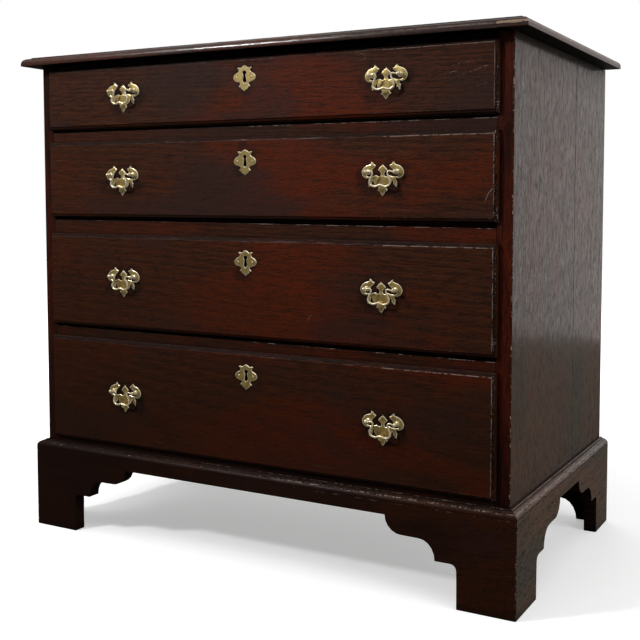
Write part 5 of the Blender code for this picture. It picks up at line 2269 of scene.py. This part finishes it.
@dataclass
class Drawer:
    """Lipped front, dovetailed box and bottom boards, with its brasses and lock."""

    number: int
    arris: float = 0.0006
    bare_depth: float = 0.0135
    box_arris: float = 0.0007
    bottom_boards: int = 4
    bottom_spread: float = 0.2
    bottom_gap: float = 0.0008
    bottom_sink: float = 0.0004
    bottom_arris: float = 0.0008
    handle_dirt: Point = (0.018, 0.068)
    keyhole_dirt: Point = (0.006, 0.060)
    lip_inset: float = 0.0012
    lip_width: float = 0.0062
    scratches: dict[int, tuple[Mark, ...]] = field(
        default_factory=lambda: {
            1: (
                Mark((0.352, -0.257, 0.8160), (0.382, -0.257, 0.8225), 0.0011, 110.0, 0.60, 0.28),
                Mark((0.384, -0.257, 0.8150), (0.436, -0.257, 0.8290), 0.0018, 190.0, 0.48, 0.24),
                Mark((0.368, -0.257, 0.8300), (0.420, -0.257, 0.8370), 0.0014, 190.0, 0.46, 0.20),
                Mark((0.404, -0.257, 0.7960), (0.430, -0.257, 0.8020), 0.0013, 160.0, 0.50, 0.22),
            ),
            2: (
                Mark((0.4295, -0.257, 0.6285), (0.4345, -0.257, 0.6395), 0.0014, 90.0, 0.70, 0.40),
                Mark((0.4345, -0.257, 0.6395), (0.4405, -0.257, 0.6460), 0.0015, 90.0, 0.70, 0.55),
            ),
            4: (Mark((0.210, -0.257, 0.230), (0.236, -0.257, 0.233), 0.0007, 60.0, 0.6, 0.25),),
        }
    )

    @property
    def body(self) -> str:
        """The drawer's body."""
        return f"drawer_{self.number}"

    @property
    def seed(self) -> int:
        """Number that picks the figure of the drawer's boards."""
        return 100 + self.number * 10

    def build(self) -> None:
        """Makes every piece of the drawer."""
        self._front()
        self._box()
        self._bottom()
        for hand in Hand:
            Handle(self.number, hand).build()
        Escutcheon(self.number).build()
        Lock(self.number).build()

    def _front(self) -> None:
        """Makes the front, varnished outside and bare behind."""
        node = f"drawer_{self.number}_front"
        shape = cad_copy(node)
        round_arrises(shape, self.arris, shortest=0.05)
        lip_y = max(vert.co.y for vert in shape.verts) - self.bare_depth
        for face in shape.faces:
            face.material_index = int(face.calc_center_median().y > lip_y)
        show = FRONT_OAK.material(Board.FRONT, self.seed, self._marks())
        bare = BARE_OAK.material(Board.FRONT, self.seed)
        settle(shape, f"drawer_{self.number}_face", self.body, Slot.FRONT, show, bare, node=node)

    def _marks(self) -> list[Mark]:
        """Rows of chips and painted highlight lines along the lips, a darker band down the right lip, painted
        shade along the top lip's slope, and the drawer's own scratches.

        Returns:
            The marks.
        """
        low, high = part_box(f"drawer_{self.number}_front")
        y = low.y
        top = high.z - self.lip_inset
        inner = high.z - self.lip_width
        side = high.x - self.lip_inset
        slope_y, slope_z = y + 0.0042, high.z - 0.0026
        marks = [
            *self._plate_dirt(y),
            # Pale broken lines along the top lip and its fillet, stronger at the right end: wear with painted
            # highlights.
            Mark((-0.10, y, top), (high.x, y, top), 0.0014, 60.0, 0.50, 0.20),
            Mark((0.22, y, top), (high.x, y, top), 0.0020, 150.0, 0.70, 0.50),
            Mark((-0.02, y, inner), (high.x, y, inner), 0.0012, 60.0, 0.50, 0.18),
            Mark((0.26, y, inner), (high.x, y, inner), 0.0018, 150.0, 0.62, 0.48),
            # Two pale lines down the right lip: wear with painted highlights; then whitish chips.
            Mark((side, y, low.z), (side, y, high.z), 0.0020, 90.0, 0.66, 0.36),
            Mark((side - 0.0045, y, low.z), (side - 0.0045, y, high.z), 0.0020, 90.0, 0.66, 0.34),
            Mark((side - 0.002, y, low.z), (side - 0.002, y, high.z), 0.0090, 420.0, 0.30, 0.85),
            Mark((side, y, low.z), (side, y, low.z + 0.03), 0.0110, 330.0, 0.42, 0.75),
            # A darker band down the right lip.
            Mark((side - 0.001, y, low.z), (side - 0.001, y, high.z), 0.0100, 6.0, 1.0, 0.80, dirt=True),
            # Painted shade along the top lip's slope.
            Mark((low.x, slope_y, slope_z), (high.x, slope_y, slope_z), 0.0100, 6.0, 1.0, 0.80, dirt=True),
            # A faint pale line along the left part of the top lip: wear with a painted highlight.
            Mark((low.x, y, top), (low.x + 0.2, y, top), 0.0012, 60.0, 0.40, 0.16),
        ]
        return [*marks, *self.scratches.get(self.number, ())]

    def _plate_dirt(self, y: float) -> list[Mark]:
        """Old polish and dirt round the brass plates, where a cloth doesn't reach, together with the plates'
        painted shadow.

        Args:
            y: Place of the front's face.

        Returns:
            The marks.
        """
        marks = []
        reach, width = self.handle_dirt
        for hand in Hand:
            low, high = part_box(f"handle_{self.number}_{hand.word}")
            middle_x, middle_z = (low.x + high.x) / 2, (low.z + high.z) / 2
            ends = ((middle_x + way * reach, y, middle_z) for way in (-1, 1))
            # Dirt and painted shadow round each handle plate.
            marks.append(Mark(*ends, width, 6.0, 1.0, 0.62, dirt=True))
        low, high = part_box(f"escutcheon_{self.number}")
        middle_z = (low.z + high.z) / 2
        reach, width = self.keyhole_dirt
        ends = ((0.0, y, middle_z + way * reach) for way in (-1, 1))
        return [*marks, Mark(*ends, width, 6.0, 1.0, 0.50, dirt=True)]

    def _box(self) -> None:
        """Makes the sides and the back."""
        boards = {"side_left": Board.RUN, "side_right": Board.RUN, "back": Board.FRONT}
        for number, (part, board) in enumerate(boards.items()):
            node = f"drawer_{self.number}_{part}"
            shape = cad_copy(node)
            round_arrises(shape, self.box_arris, shortest=0.1)
            oak = BARE_OAK.material(board, self.seed + 5 + number)
            settle(shape, f"{node}_board", self.body, Slot.INSIDE, oak, node=node)

    def _bottom(self) -> None:
        """Makes the bottom, of boards that run from front to back."""
        node = f"drawer_{self.number}_bottom"
        low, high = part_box(node)
        draw = random.Random(self.number)
        materials = []
        shape = bmesh.new()
        boards = uneven_boards(low.x, high.x, self.bottom_boards, self.bottom_spread, draw)
        for number, (start, end) in enumerate(boards):
            near = (start + self.bottom_gap / 2, low.y, low.z)
            far = (end - self.bottom_gap / 2, high.y, high.z - draw.uniform(0.0, self.bottom_sink))
            add_plank(shape, near, far, self.bottom_arris, number)
            materials.append(BARE_OAK.material(Board.FLAT_RUN, self.seed + 100 + number))
        settle(shape, f"{node}_boards", self.body, Slot.INSIDE, *materials, node=node)


def write_sizes() -> None:
    """Updates the view layer."""
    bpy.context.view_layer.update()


def main() -> None:
    """Builds the studio and every sub-assembly in order."""
    logging.basicConfig(level=logging.INFO, format="%(name)s: %(message)s")
    Studio().build()
    Carcass().build()
    Plinth().build()
    for number in range(1, 5):
        Drawer(number).build()
    write_sizes()


if __name__ == "__main__":
    main()
